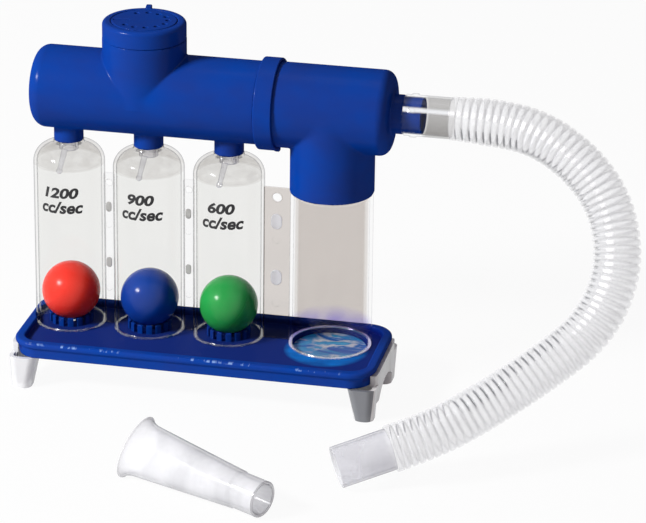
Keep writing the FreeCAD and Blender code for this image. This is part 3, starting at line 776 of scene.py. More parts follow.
@dataclass(frozen=True)
class TrayPlastic:
    """Blue tray with a painted shade on its floor, a painted pool of light in front of the trap and painted
    highlights on its front edge.

    Attributes:
        name: Name of the material.
        light: Colour of the rim and the skirt, linear.
        deep: Colour of their darker flow.
        floor: Colour of a painted shade on the floor behind the rim.
        glow: Colour of a painted pool of light that stands for the light that comes through the disc.
        edge: Y and Z of the front edge in metres.
        floor_top: Height of the floor in metres.
        glow_at: Middle of the painted light on the floor in metres.
        glow_r: Its radius.
        edge_highlight: Colour of the painted highlights on the front edge.
        roughness: Middle roughness.
        waviness: Height of the slow waves in metres.
        polish: Share of an even mirror over it.
    """

    name: str
    light: Triple
    deep: Triple
    floor: Triple
    glow: Triple
    edge: tuple[float, float]
    floor_top: float
    glow_at: tuple[float, float]
    glow_r: float = 0.0205
    edge_highlight: Triple = (0.4, 0.62, 1.0)
    roughness: float = 0.19
    waviness: float = 0.00003
    polish: float = 0.005

    def material(self) -> bpy.types.Material:
        """Builds the nodes."""
        net = Net(self.name)
        x, y, z = (net.axis(name) for name in "XYZ")
        colour = net.tint(net.flow(), self.deep, self.light)
        low = z.below(self.floor_top + 0.0002, self.floor_top + 0.0022)
        sunk = low * z.band(self.floor_top - 0.003, self.floor_top - 0.002)
        # Painted shade: the sunk floor behind the rim is darker.
        behind_rim = y.band(self.edge[0] + 0.0042, self.edge[0] + 0.0048)
        colour = net.tint(sunk * behind_rim, colour, self.floor)
        # Painted light: a pool of lit blue on the floor in front of the trap.
        away = ((x - self.glow_at[0]) ** 2 + (y - self.glow_at[1]) ** 2) ** 0.5
        painted_light_pool = away.below(self.glow_r * 0.86, self.glow_r)
        swirl = net.noise(70.0, 3.0, (1, 1.6, 1)).band(0.3, 0.65) * 0.6 + 0.35
        colour = net.tint(painted_light_pool * sunk * swirl, colour, self.glow)
        # Painted highlights: bright flecks along the front edge of the rim.
        edge = (y - self.edge[0]).below(0.0004, 0.0022)
        level = z.near(self.edge[1], 0.0002, 0.0006)
        painted_glints = net.noise(900.0, 4.0, (0.6, 0.2, 0.2)).band(0.54, 0.62)
        patch = net.noise(60.0, 1.0, (1, 0.1, 0.1)).band(0.45, 0.55)
        colour = net.tint(edge * level * painted_glints * patch * 0.5, colour, self.edge_highlight)
        rough = net.handled(self.roughness)
        normal = net.bump(net.noise(90.0, 2.0) * self.waviness, 1.0)
        surface = net.shader(Base_Color=colour, Roughness=rough, Specular_IOR_Level=0.0, Normal=normal)
        return net.finish(net.polished(surface, rough, normal, self.polish))


@dataclass(frozen=True)
class HosePlastic:
    """Milky hose wall: white crests, and grooves greyed by painted shade that is darkest on the inside of
    its bend.

    The mesh carries the grooves, the painted shade of the bend and the painted highlight line as values from
    0 to 1 at its points.

    Attributes:
        name: Name of the material.
        through: What one surface lets through, linear.
        crest: Colour of the crests.
        groove: Colour of the grooves, a painted shade.
        bend_shade: Colour of the painted shade in the grooves on the inside of the bend.
        face: Share that the wall scatters where it faces the eye, 0 to 1.
        mist: What its cloudiness adds.
        deep: What a groove adds.
        rim: What is added where the wall is seen edge on.
        glow: Strength of a painted glow: the wall gives off light of its own.
        waviness: Height of the mould's waves in metres.
    """

    name: str
    through: Triple
    crest: Triple
    groove: Triple
    bend_shade: Triple
    face: float = 0.11
    mist: float = 0.06
    deep: float = 0.14
    rim: float = 0.2
    glow: float = 0.12
    waviness: float = 0.00003

    def material(self) -> bpy.types.Material:
        """Builds the nodes."""
        net = Net(self.name)
        groove, bend_shade, painted_highlight = (net.own(name) for name in ("groove", "bend_shade", "painted_highlight"))
        edge_on = net.facing(0.5).band(0.55, 0.95)
        cloud = net.noise(120.0, 3.0).band(0.35, 0.65)
        # Painted shade: grey grooves, darkest on the inside of the bend.
        colour = net.tint(groove, self.crest, self.groove)
        colour = net.tint(bend_shade, colour, self.bend_shade)
        share = self.face + cloud * self.mist + groove * self.deep + edge_on * self.rim
        # Painted glow: the wall gives off light of its own, though it is no lamp.
        body = net.shader(
            Base_Color=net.tint(painted_highlight, colour, WHITE),
            Emission_Color=(*WHITE, 1),
            Emission_Strength=self.glow,
            Roughness=0.1 + cloud * 0.06,
            IOR=PLASTIC_IOR,
            Normal=net.bump(net.noise(400.0, 2.0) * self.waviness, 1.0),
        )
        share = net.math("MAXIMUM", share, bend_shade * 0.95)
        # Painted highlight: the highlight line shows mostly white.
        share = net.math("MAXIMUM", share, painted_highlight * 0.8)
        return net.finish(net.mixed(share, net.clear(self.through), body))


@dataclass(frozen=True)
class PaintedCausticDisc:
    """Clear blue disc with painted caustics: swirls of painted light run from deep blue over cyan to white.

    Attributes:
        name: Name of the material.
        deep: Colour between the painted swirls of light, linear.
        bright: Colour of the painted swirls of light.
        glint: Colour of the painted glints along their edges.
    """

    name: str
    deep: Triple
    bright: Triple
    glint: Triple = (0.93, 0.98, 1.0)

    def material(self) -> bpy.types.Material:
        """Builds the nodes."""
        net = Net(self.name)
        made = net.node(
            "ShaderNodeTexNoise", Vector=net.place((1, 2.2, 1)), Scale=34.0, Detail=2.5, Distortion=2.0
        )
        # Painted light: caustic swirls and glints.
        swirl = Value(net, made.outputs[0])
        ring = net.math("ABSOLUTE", swirl - 0.5) * 2
        patch = net.noise(60.0, 2.0, (1, 2, 1)).band(0.42, 0.56)
        glint = ring.below(0.02, 0.16) * patch
        base = net.tint(swirl.band(0.35, 0.68), self.deep, self.bright)
        surface = net.shader(
            Base_Color=net.tint(glint * 0.9, base, self.glint),
            Roughness=0.12 + swirl * 0.1,
            IOR=PLASTIC_IOR,
            Normal=net.bump(swirl * 0.0006, 1.0),
        )
        return net.finish(surface)


@dataclass(frozen=True)
class Ink:
    """Printed ink with a dry, slightly uneven film."""

    name: str = "black_ink"
    thick: Triple = (0.004, 0.004, 0.005)
    thin: Triple = (0.016, 0.016, 0.018)

    def material(self) -> bpy.types.Material:
        """Builds the nodes."""
        net = Net(self.name)
        film = net.noise(1500.0, 3.0)
        surface = net.shader(
            Base_Color=net.tint(film, self.thick, self.thin),
            Roughness=0.45 + film * 0.2,
        )
        return net.finish(surface)


@dataclass(frozen=True)
class Palette:
    """Every finish of the object, made once."""

    blue: bpy.types.Material
    tray: bpy.types.Material
    balls: dict[str, bpy.types.Material]
    tube: bpy.types.Material
    trap: bpy.types.Material
    web: bpy.types.Material
    wide_web: bpy.types.Material
    boss: bpy.types.Material
    wide_boss: bpy.types.Material
    stop: bpy.types.Material
    disc: bpy.types.Material
    frame_left: bpy.types.Material
    frame_right: bpy.types.Material
    clip: bpy.types.Material
    hose: bpy.types.Material
    near_cuff: bpy.types.Material
    far_cuff: bpy.types.Material
    mouthpiece: bpy.types.Material
    ink: bpy.types.Material

    @classmethod
    def make(cls) -> "Palette":
        """Builds all the materials."""
        finishes = {
            "blue": GlossPlastic(
                "royal_blue",
                light=linear(0, 58, 148),
                deep=linear(20, 52, 132),
                roughness=0.19,
                gloss=0.0,
                polish=0.005,
            ),
            "tray": cls.tray_finish(),
            "disc": PaintedCausticDisc("pale_blue_disc", deep=linear(18, 96, 200), bright=linear(70, 190, 244)),
            "clip": GlossPlastic(
                "white_clip", light=linear(232, 232, 228), deep=linear(222, 222, 218), roughness=0.3
            ),
            # The hose carries painted shade in its grooves, a painted highlight line and a painted glow.
            "hose": HosePlastic(
                "milky_hose",
                through=(0.975, 0.975, 0.975),
                crest=linear(244, 245, 248),
                groove=linear(204, 205, 208),
                bend_shade=linear(96, 98, 104),
            ),
            "ink": Ink(),
            **cls.clear_finishes(),
            **cls.milky_finishes(),
        }
        made = {key: finish.material() for key, finish in finishes.items()}
        return cls(balls=cls.make_balls(), **made)

    @staticmethod
    def tray_finish() -> TrayPlastic:
        """Finish of the tray, which follows the places of its edge, its floor and the disc."""
        tray, disc = Span.of("base_tray"), Span.of("trap_disc")
        front, top = float(tray.low[1]) * MM, float(tray.high[2]) * MM
        return TrayPlastic(
            "tray_blue",
            light=linear(2, 62, 154),
            deep=linear(24, 58, 144),
            # Painted shade on the floor, and a painted pool of light in front of the trap.
            floor=linear(24, 44, 118),
            glow=linear(20, 128, 220),
            edge=(front, top - 0.0016),
            floor_top=top - Stand.seat_height * MM,
            glow_at=(float(disc.middle[0]) * MM, float(disc.middle[1]) * MM - 0.0085),
        )

    @staticmethod
    def clear_finishes() -> dict[str, ClearPlastic]:
        """Finishes of the clear walls, the webs between them, the balls' stops and the near cuff."""
        low = float(Span.of("chamber_rear").low[2]) * MM
        foot, dome = low + 0.0004, low + Chambers.shoulder_height * MM
        white, grey, dark = linear(244, 245, 248), linear(176, 178, 182), linear(104, 104, 112)
        beige, faint = (0.885, 0.868, 0.856), (0.985, 0.985, 0.985)
        return {
            # The tubes and the trap carry a painted highlight on their foot.
            "tube": ClearPlastic(
                "clear_wall",
                through=(0.963, 0.963, 0.958),
                colour=white,
                edge=linear(62, 60, 68),
                face=0.008,
                rim=0.8,
                edge_from=0.68,
                foot=foot,
                dome=dome,
            ),
            # The trap's rear wall carries a painted reflection of the tray near its foot.
            "trap": ClearPlastic(
                "clear_trap",
                through=beige,
                colour=white,
                edge=grey,
                face=0.008,
                rim=0.55,
                edge_from=0.8,
                pale_from=0.5,
                foot=foot,
                foot_highlight_share=0.7,
                tray_reflection=(0.60, 0.56, 0.88),
            ),
            "web": ClearPlastic("clear_web", faint, white, dark, face=0.01, rim=0.8),
            "wide_web": ClearPlastic("clear_wide_web", beige, white, dark, face=0.01, rim=0.8),
            "stop": ClearPlastic(
                "clear_stop",
                through=(0.94, 0.94, 0.96),
                colour=white,
                edge=dark,
                face=0.12,
                rim=0.85,
                edge_from=0.45,
                ripple=0.0002,
            ),
            # The near cuff's smoky part carries a painted highlight line along its front.
            "near_cuff": ClearPlastic(
                "clear_cuff", faint, white, grey, face=0.012, rim=0.7, smoky_from=0.102
            ),
        }

    @staticmethod
    def milky_finishes() -> dict[str, ClearPlastic]:
        """Finishes of the bosses, the leg frames, the free cuff and the mouthpiece."""
        white, grey, dark = linear(244, 245, 248), linear(176, 178, 182), linear(104, 104, 112)
        frame = {
            "through": (0.9, 0.9, 0.9),
            "edge": grey,
            "face": 0.75,
            "rim": 0.95,
            "metallic": 0.0,
            "roughness": 0.2,
        }
        return {
            "boss": ClearPlastic(
                "grey_boss",
                through=(0.8, 0.8, 0.78),
                colour=linear(196, 196, 192),
                edge=dark,
                face=0.7,
                rim=0.95,
                edge_from=0.25,
                metallic=0.0,
            ),
            "wide_boss": ClearPlastic(
                "pale_boss",
                through=(0.99, 0.99, 0.99),
                colour=white,
                edge=grey,
                face=0.6,
                rim=0.95,
                edge_from=0.3,
                metallic=0.0,
            ),
            "frame_left": ClearPlastic("milky_frame_left", colour=linear(242, 243, 244), **frame),
            # The right frame's front wall carries a painted shade.
            "frame_right": ClearPlastic(
                "milky_frame_right_painted_shade",
                colour=linear(240, 238, 234),
                shaded=linear(124, 126, 130),
                **frame,
            ),
            "far_cuff": ClearPlastic(
                "milky_cuff",
                through=(0.94, 0.94, 0.95),
                colour=white,
                edge=grey,
                face=0.22,
                rim=0.85,
                edge_from=0.5,
                metallic=0.0,
                roughness=0.12,
                ripple=0.0,
            ),
            "mouthpiece": ClearPlastic(
                "milky_white",
                through=(0.965, 0.965, 0.97),
                colour=linear(238, 239, 241),
                edge=grey,
                face=0.4,
                rim=0.95,
                edge_from=0.5,
                metallic=0.0,
                roughness=0.1,
                ripple=0.0,
            ),
        }

    @staticmethod
    def make_balls() -> dict[str, bpy.types.Material]:
        """Materials of the three balls, each with its moulding seam, which shows on the green one."""
        tones = {
            "1200": ("red", linear(252, 60, 40), linear(244, 52, 36), 0.24, (0.187, -0.9075, 0.376)),
            "900": ("ball_blue", linear(4, 66, 164), linear(16, 56, 146), 0.16, (0.187, -0.9075, 0.376)),
            "600": ("green", linear(46, 170, 82), linear(36, 152, 68), 0.18, (0.650, 0.447, -0.614)),
        }
        made = {}
        for name, (title, light, deep, roughness, normal) in tones.items():
            middle = tuple(float(v) for v in Span.of("ball_" + name).middle)
            finish = GlossPlastic(
                title,
                light,
                deep,
                roughness,
                gloss=0.15,
                seam=middle,
                seam_normal=normal,
                glow=0.5 if title == "red" else 0.15,
            )
            made[name] = finish.material()
        return made


def dress(piece: bpy.types.Object, material: bpy.types.Material, slot: str, body: str) -> bpy.types.Object:
    """Gives a new piece its material, and lets it ride on its body."""
    piece.data.materials.clear()
    piece.data.materials.append(material)
    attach(piece, body)
    log.info("%s: %d faces", piece.name, len(piece.data.polygons))
    return piece


def dress_node(node: bpy.types.Object, material: bpy.types.Material) -> None:
    """Gives a CAD node its material, and smooths its shading without changing its mesh."""
    node.data.materials.clear()
    node.data.materials.append(material)
    weld = node.modifiers.new("weld", "WELD")
    weld.merge_threshold = 1e-6
    smooth = node.modifiers.new("rims", "EDGE_SPLIT")
    smooth.split_angle = math.radians(35)
    node.data.shade_smooth()
    log.info("%s: CAD node dressed", node.name)


# Sub-assemblies


@dataclass
class Stand:
    """Blue tray with its ball seats, and the milky leg frames under its ends."""

    palette: Palette
    rim_width: float = 4.6
    rim_round: float = 1.4
    rim_drop: float = 3.2
    rim_overhang: float = 1.2
    rim_height: float = 3.0
    rim_fillet: float = 0.9
    corner: float = 13.0
    floor_thickness: float = 1.8
    skirt_wall: float = 1.8
    skirt_draft: float = 0.7
    skirt_sink: float = 0.5
    skirt_fillet: float = 0.5
    edge: float = 0.4
    tube_relief: float = 0.2
    pocket_clearance: float = 0.15
    pocket_wall: float = 1.8
    disc_ledge: float = 1.6
    seat_outer: float = 10.5
    seat_wall: float = 1.5
    seat_height: float = 4.2
    seat_teeth: int = 14
    seat_slot: float = 1.8
    cell: float = 0.6
    seat_cell: float = 0.35
    tray: Span = field(init=False)

    def __post_init__(self) -> None:
        """Reads the tray's place."""
        self.tray = Span.of("base_tray")

    @property
    def rim_top(self) -> float:
        """Height of the rim, over which the seats stand a little."""
        return self.floor_top + self.rim_height

    @property
    def floor_top(self) -> float:
        """Height of the tray's floor."""
        return float(self.tray.high[2]) - self.seat_height

    def build(self) -> None:
        """Makes the tray, its seats and the leg frames."""
        self.build_tray()
        for name in BALL_NAMES:
            self.build_seat(name)
        for side in ("left", "right"):
            self.build_frame(side)

    def outline(self, x: Array, y: Array) -> Array:
        """Distance to the tray's outline, negative inside."""
        middle, half = self.tray.middle, self.tray.size / 2
        return slab(x - middle[0], y - middle[1], half[0], half[1], self.corner)

    def tray_field(self, x: Array, y: Array, z: Array) -> Array:
        """Rim and skirt round a sunk floor, less the tubes' footprints, the pocket and the inlet holes."""
        flat = self.outline(x, y)
        top, floor = self.rim_top, self.floor_top
        low = float(self.tray.low[2])
        rim = extruded(flat, z, top - self.rim_drop, top, self.rim_round)
        draft = self.skirt_draft * np.clip((top - self.rim_drop - z) / (top - self.rim_drop - low), 0, 1)
        skirt = extruded(flat + self.rim_overhang + draft, z, low, top - self.skirt_sink, self.edge)
        body = blended(rim, skirt, self.skirt_fillet)
        body = carved(body, extruded(flat + self.rim_width, z, floor, top + PAST), self.rim_fillet)
        under = floor - self.floor_thickness
        inset = self.rim_overhang + self.skirt_draft + self.skirt_wall
        hollow = extruded(flat + inset, z, low - PAST, under)
        body = carved(body, hollow, self.edge)
        disc = Span.of("trap_disc")
        pocket = disc.size[0] / 2 + self.pocket_clearance
        radial = np.hypot(x - disc.middle[0], y)
        well = cylinder(radial, z, pocket + self.pocket_wall, disc.low[2] - self.disc_ledge, under + 1)
        body = np.minimum(body, well)
        body = carved(body, cylinder(radial, z, pocket, disc.low[2], top + PAST), self.edge)
        ledge_r = pocket - self.disc_ledge
        body = carved(body, cylinder(radial, z, ledge_r, low - PAST, top), self.edge)
        for name in BALL_NAMES:
            radial = np.hypot(x - Span.of("ball_" + name).middle[0], y)
            body = carved(body, cylinder(radial, z, self.inlet(name), low - PAST, top))
            footprint = cylinder(radial, z, Chambers.tube_r + self.tube_relief, floor, top + PAST)
            body = carved(body, footprint)
        radial = np.hypot(x - disc.middle[0], y)
        footprint = cylinder(radial, z, Chambers.trap_foot_r + self.tube_relief, floor, top + PAST)
        return carved(body, footprint)

    @staticmethod
    def inlet(name: str) -> float:
        """Radius of the air hole under a seat."""
        return {"1200": 2.6, "900": 2.1, "600": 1.7}[name]

    def build_tray(self) -> None:
        """Makes the tray."""
        piece = Solid(self.tray_field, self.tray.low, self.tray.high, self.cell).piece("tray")
        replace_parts(dress(piece, self.palette.tray, "blue_plastic", Body.STAND.value), "base_tray")

    def build_seat(self, name: str) -> None:
        """Makes one castellated seat: a ring with slots at even angles."""
        centre = Span.of("ball_" + name).middle[0]
        top = self.floor_top + self.seat_height
        pitch = 2 * math.pi / self.seat_teeth

        def ring(x: Array, y: Array, z: Array) -> Array:
            """Ring less a slot that repeats round it, with soft edges."""
            radial = np.hypot(x - centre, y)
            wall = np.abs(radial - self.seat_outer + self.seat_wall / 2) - self.seat_wall / 2
            angle = np.arctan2(y, x - centre)
            turn = np.mod(angle, pitch) - pitch / 2
            slot = np.abs(radial * np.sin(turn)) - self.seat_slot / 2
            return extruded(np.maximum(wall, -slot), z, self.floor_top - 0.4, top, 0.25)

        reach = self.seat_outer + 0.5
        low = (centre - reach, -reach, self.floor_top - 0.5)
        high = (centre + reach, reach, top)
        piece = Solid(ring, np.array(low), np.array(high), self.seat_cell).piece("ball_seat_" + name)
        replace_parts(dress(piece, self.palette.blue, "blue_plastic", Body.STAND.value), "base_tray")

    def build_frame(self, side: str) -> None:
        """Dresses one leg frame."""
        node = bpy.data.objects["leg_frame_" + side]
        dress_node(node, self.palette.frame_left if side == "left" else self.palette.frame_right)


@dataclass
class Chambers:
    """Clear ball tubes and trap tube as a front and a rear half, with webs, pegs and flow figures."""

    palette: Palette
    tube_r: float = 17.0
    tube_wall: float = 1.5
    foot_edge: float = 0.3
    shoulder_height: float = 81.8
    dome_r: float = 9.0
    neck_ring_r: float = 7.3
    neck_ring_height: float = 1.7
    neck_r: float = 5.9
    neck_wall: float = 1.2
    trap_foot_r: float = 19.9
    trap_top_r: float = 19.6
    trap_wall: float = 1.7
    trap_height: float = 77.8
    trap_neck_r: float = 18.0
    trap_neck_height: float = 9.0
    web_height: float = 76.9
    web_half: float = 1.0
    web_hole_height: float = 72.0
    web_hole_r: float = 2.3
    boss_heights: tuple[float, float] = (60.2, 31.8)
    boss_size: tuple[float, float] = (2.8, 5.1)
    wide_boss_size: tuple[float, float] = (5.4, 7.8)
    boss_rise: float = 0.5
    peg_heights: tuple[float, float] = (50.9, 18.5)
    peg_inset: float = 0.4
    peg_rise: float = 0.35
    web_margin: float = 0.7
    web_cell: float = 0.3
    boss_cell: float = 0.2
    columns: int = 65

    def build(self) -> None:
        """Makes both halves, the balls' stops and the figures."""
        self.low = float(Span.of("chamber_rear").low[2])
        self.top = float(Span.of("chamber_rear").high[2])
        self.xs = [float(Span.of("ball_" + n).middle[0]) for n in BALL_NAMES]
        self.trap_x = float(Span.of("trap_disc").middle[0])
        for side, node in ((-1, "chamber_front"), (1, "chamber_rear")):
            self.build_half(side, node)
        for name in BALL_NAMES:
            dress_node(bpy.data.objects["ball_stop_" + name], self.palette.stop)
        dress_node(bpy.data.objects["trap_disc"], self.palette.disc)
        self.build_figures()

    def tube_profile(self) -> Array:
        """Closed profile of a ball tube: up the outside over the dome to the neck, and down the inside."""
        angle = np.radians(np.linspace(0, 90, 13))[:, None]
        shoulder = self.low + self.shoulder_height
        direction = np.hstack([np.cos(angle), np.sin(angle)])
        outer_dome = np.array([self.tube_r - self.dome_r, shoulder]) + self.dome_r * direction
        inner_r = self.dome_r - self.tube_wall
        inner_dome = np.array([self.tube_r - self.dome_r, shoulder]) + inner_r * direction
        ring_top = shoulder + self.dome_r + self.neck_ring_height
        neck_in = self.neck_r - self.neck_wall
        foot = self.low + self.foot_edge
        outside = [[self.tube_r, self.low], [self.tube_r, foot], *outer_dome.tolist()]
        neck = [
            [self.neck_ring_r, shoulder + self.dome_r],
            [self.neck_ring_r, ring_top],
            [self.neck_r, ring_top],
            [self.neck_r, self.top],
            [neck_in, self.top],
            [neck_in, shoulder + inner_r],
        ]
        inner = self.tube_r - self.tube_wall
        inside = inner_dome[::-1].tolist()
        inside += [[inner, foot], [inner, self.low], [self.tube_r, self.low]]
        return np.array(outside + neck + inside)

    def trap_profile(self) -> Array:
        """Closed profile of the trap tube with its neck."""
        shoulder = self.low + self.trap_height
        neck = shoulder + self.trap_neck_height
        wall = self.trap_wall
        corners = [
            (self.trap_foot_r, self.low),
            (self.trap_top_r, shoulder),
            (self.trap_neck_r, shoulder),
            (self.trap_neck_r, neck),
            (self.trap_neck_r - wall, neck),
            (self.trap_neck_r - wall, shoulder - wall),
            (self.trap_top_r - wall, shoulder - wall),
            (self.trap_foot_r - wall, self.low),
        ]
        return softened(corners, 0.4)

    def build_half(self, side: int, node: str) -> None:
        """Makes one half: turned half rounds, web panels with bosses, and pegs on the front one.

        Args:
            side: -1 for the front and 1 for the rear.
            node: CAD node that it stands for.
        """
        arc = (180, 360) if side < 0 else (0, 180)
        shapes = []
        for x in self.xs:
            shapes.append(turned(self.tube_profile(), np.array([x, 0, 0]), Axis.Z, arc, self.columns))
        points, faces, start = [], [], 0
        for shape in shapes:
            points.append(shape.reshape(-1, 3))
            faces.append(grid_faces(*shape.shape[:2]) + start)
            start += shape.shape[0] * shape.shape[1]
        end = "front" if side < 0 else "rear"
        piece = make_piece("tubes_" + end, np.vstack(points), np.vstack(faces))
        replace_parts(dress(piece, self.palette.tube, "clear_plastic", Body.STAND.value), node)
        trap = turned(self.trap_profile(), np.array([self.trap_x, 0, 0]), Axis.Z, arc, self.columns)
        piece = make_piece("trap_" + end, trap.reshape(-1, 3), grid_faces(*trap.shape[:2]))
        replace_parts(dress(piece, self.palette.trap, "clear_plastic", Body.STAND.value), node)
        self.build_webs(side, node)

    def web_spans(self) -> list[tuple[float, float]]:
        """Left and right end of each web, from one tube's wall to the next."""
        edges = [(x - self.tube_r, x + self.tube_r) for x in self.xs]
        edges.append((self.trap_x - self.trap_foot_r, self.trap_x + self.trap_foot_r))
        return [(a[1], b[0]) for a, b in zip(edges, edges[1:])]

    def build_webs(self, side: int, node: str) -> None:
        """Makes one half's web panels, each with its hole, and on the front half its oval bosses and its
        pegs.
        """
        for number, (left, right) in enumerate(self.web_spans()):
            middle, half = (left + right) / 2, (right - left) / 2
            hole = min(self.web_hole_r, half - self.web_margin)
            wide = number == len(self.web_spans()) - 1
            width, length = self.wide_boss_size if wide else self.boss_size
            long = (length - width) / 2

            def panel(
                x: Array,
                y: Array,
                z: Array,
                middle: float = middle,
                half: float = half,
                hole: float = hole,
            ) -> Array:
                """Thin slab with round pegs on its front face, less a round hole."""
                up = z - self.low
                depth = y * side
                half_height = self.web_height / 2
                flat = np.maximum(np.abs(x - middle) - half, np.abs(up - half_height) - half_height)
                body = extruded(flat, depth, 0, self.web_half, 0.1)
                if side < 0:
                    for height in self.peg_heights:
                        peg = np.hypot(x - middle, up - height) - (hole - self.peg_inset)
                        top = self.web_half + self.peg_rise
                        body = np.minimum(body, extruded(peg, depth, 0.2, top, 0.2))
                return carved(body, np.hypot(x - middle, up - self.web_hole_height) - hole, 0.2)

            def bosses(
                x: Array,
                y: Array,
                z: Array,
                middle: float = middle,
                width: float = width,
                long: float = long,
            ) -> Array:
                """Stadium bosses on the panel's face, with crowned faces."""
                up = z - self.low
                body = np.full(np.shape(x), 1e3)
                for height in self.boss_heights:
                    beyond = np.maximum(np.abs(up - height) - long, 0)
                    stadium = np.hypot(x - middle, beyond) - width / 2
                    top = self.web_half + self.boss_rise
                    body = np.minimum(body, extruded(stadium, y * side, self.web_half, top, 0.3))
                return body

            end = "front" if side < 0 else "rear"
            reach = side * (self.web_half + self.boss_rise)
            low = np.array([left, min(0, reach), self.low])
            high = np.array([right, max(0, reach), self.low + self.web_height])
            piece = Solid(panel, low, high, self.web_cell).piece("web_%s_%d" % (end, number + 1))
            material = self.palette.wide_web if wide else self.palette.web
            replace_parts(dress(piece, material, "clear_plastic", Body.STAND.value), node)
            if side > 0:
                continue
            low[2] = self.low + min(self.boss_heights) - length
            high[2] = self.low + max(self.boss_heights) + length
            piece = Solid(bosses, low, high, self.boss_cell).piece("bosses_%d" % (number + 1))
            material = self.palette.wide_boss if wide else self.palette.boss
            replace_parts(dress(piece, material, "clear_plastic", Body.STAND.value), node)

    def build_figures(self) -> None:
        """Prints each tube's flow figure and its unit on the front, a little lower on the last tube."""
        for x, name, drop in zip(self.xs, BALL_NAMES, (0.0, 0.0, 0.7)):
            value = Figure(name, size=4.9, wide=1.27, height=92.2 - drop, shift=-2.0)
            unit = Figure("cc/sec", size=5.7, wide=1.05, height=84.9 - drop, shift=-1.3)
            for figure in (value, unit):
                figure.build(x, self.tube_r, self.palette.ink, name)


@dataclass(frozen=True)
class Figure:
    """A line of print wrapped round the front of a tube.

    Attributes:
        text: What it says.
        size: Height of the type in millimetres.
        wide: Stretch of the type across.
        height: Middle height above the table.
        shift: Shift to the right along the tube's face.
        lift: Distance of the print from the wall.
        heading: Angle of the print's middle round the tube, in degrees.
        type_scale: Size of the font over the size of the type.
        slant: Lean of the type.
        weight: Growth of its outlines in millimetres.
    """

    text: str
    size: float
    wide: float
    height: float
    shift: float
    lift: float = 0.06
    heading: float = -85.0
    type_scale: float = 1.4
    slant: float = 0.18
    weight: float = 0.28

    def build(self, x: float, radius: float, ink: bpy.types.Material, tube: str) -> None:
        """Makes the print as a mesh bent by its arc length: (x, y) to (angle, height)."""
        curve = bpy.data.curves.new("print", "FONT")
        curve.body = self.text
        curve.size = self.size * MM * self.type_scale
        curve.align_x = "CENTER"
        curve.align_y = "CENTER"
        curve.shear = self.slant
        curve.offset = self.weight * MM
        curve.resolution_u = 6
        source = bpy.data.objects.new("print", curve)
        bpy.context.scene.collection.objects.link(source)
        bpy.context.view_layer.update()
        mesh = bpy.data.meshes.new_from_object(source)
        work = bmesh.new()
        work.from_mesh(mesh)
        bmesh.ops.subdivide_edges(work, edges=work.edges, cuts=1)
        bmesh.ops.triangulate(work, faces=work.faces)
        work.to_mesh(mesh)
        work.free()
        flat = np.zeros(len(mesh.vertices) * 3)
        mesh.vertices.foreach_get("co", flat)
        flat = flat.reshape(-1, 3) / MM * np.array([self.wide, 1, 1])
        corners = np.zeros(len(mesh.polygons) * 3, np.int32)
        mesh.polygons.foreach_get("vertices", corners)
        bpy.data.objects.remove(source)
        bpy.data.meshes.remove(mesh)
        angle = math.radians(self.heading) + (flat[:, 0] + self.shift) / radius
        reach = radius + self.lift
        points = np.stack(
            [x + reach * np.cos(angle), reach * np.sin(angle), self.height + flat[:, 1]], axis=-1
        )
        normals = np.stack([np.cos(angle), np.sin(angle), 0 * angle], axis=-1)
        name = "figure_%s_%s" % (tube, "unit" if "/" in self.text else "value")
        piece = make_piece(name, points, corners.reshape(-1, 3), normals)
        piece.data.materials.append(ink)
        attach(piece, Body.STAND.value)
        log.info("%s: %d faces", name, len(piece.data.polygons))


@dataclass
class Balls:
    """Three gloss balls on their seats."""

    palette: Palette
    rows: int = 65
    columns: int = 129

    def build(self) -> None:
        """Makes each ball as a sphere turned round an upright axis."""
        slots = {"1200": "red_plastic", "900": "blue_ball_plastic", "600": "green_plastic"}
        for name, slot in slots.items():
            span = Span.of("ball_" + name)
            radius = float(span.size[2]) / 2
            tilt = np.radians(np.linspace(0, 180, self.rows))[:, None]
            profile = np.hstack([radius * np.sin(tilt), -radius * np.cos(tilt)])
            profile[[0, -1], 0] = 0
            piece = lathe("flow_ball_" + name, profile, span.middle, Axis.Z, self.columns)
            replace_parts(dress(piece, self.palette.balls[name], slot, "ball_" + name), "ball_" + name)


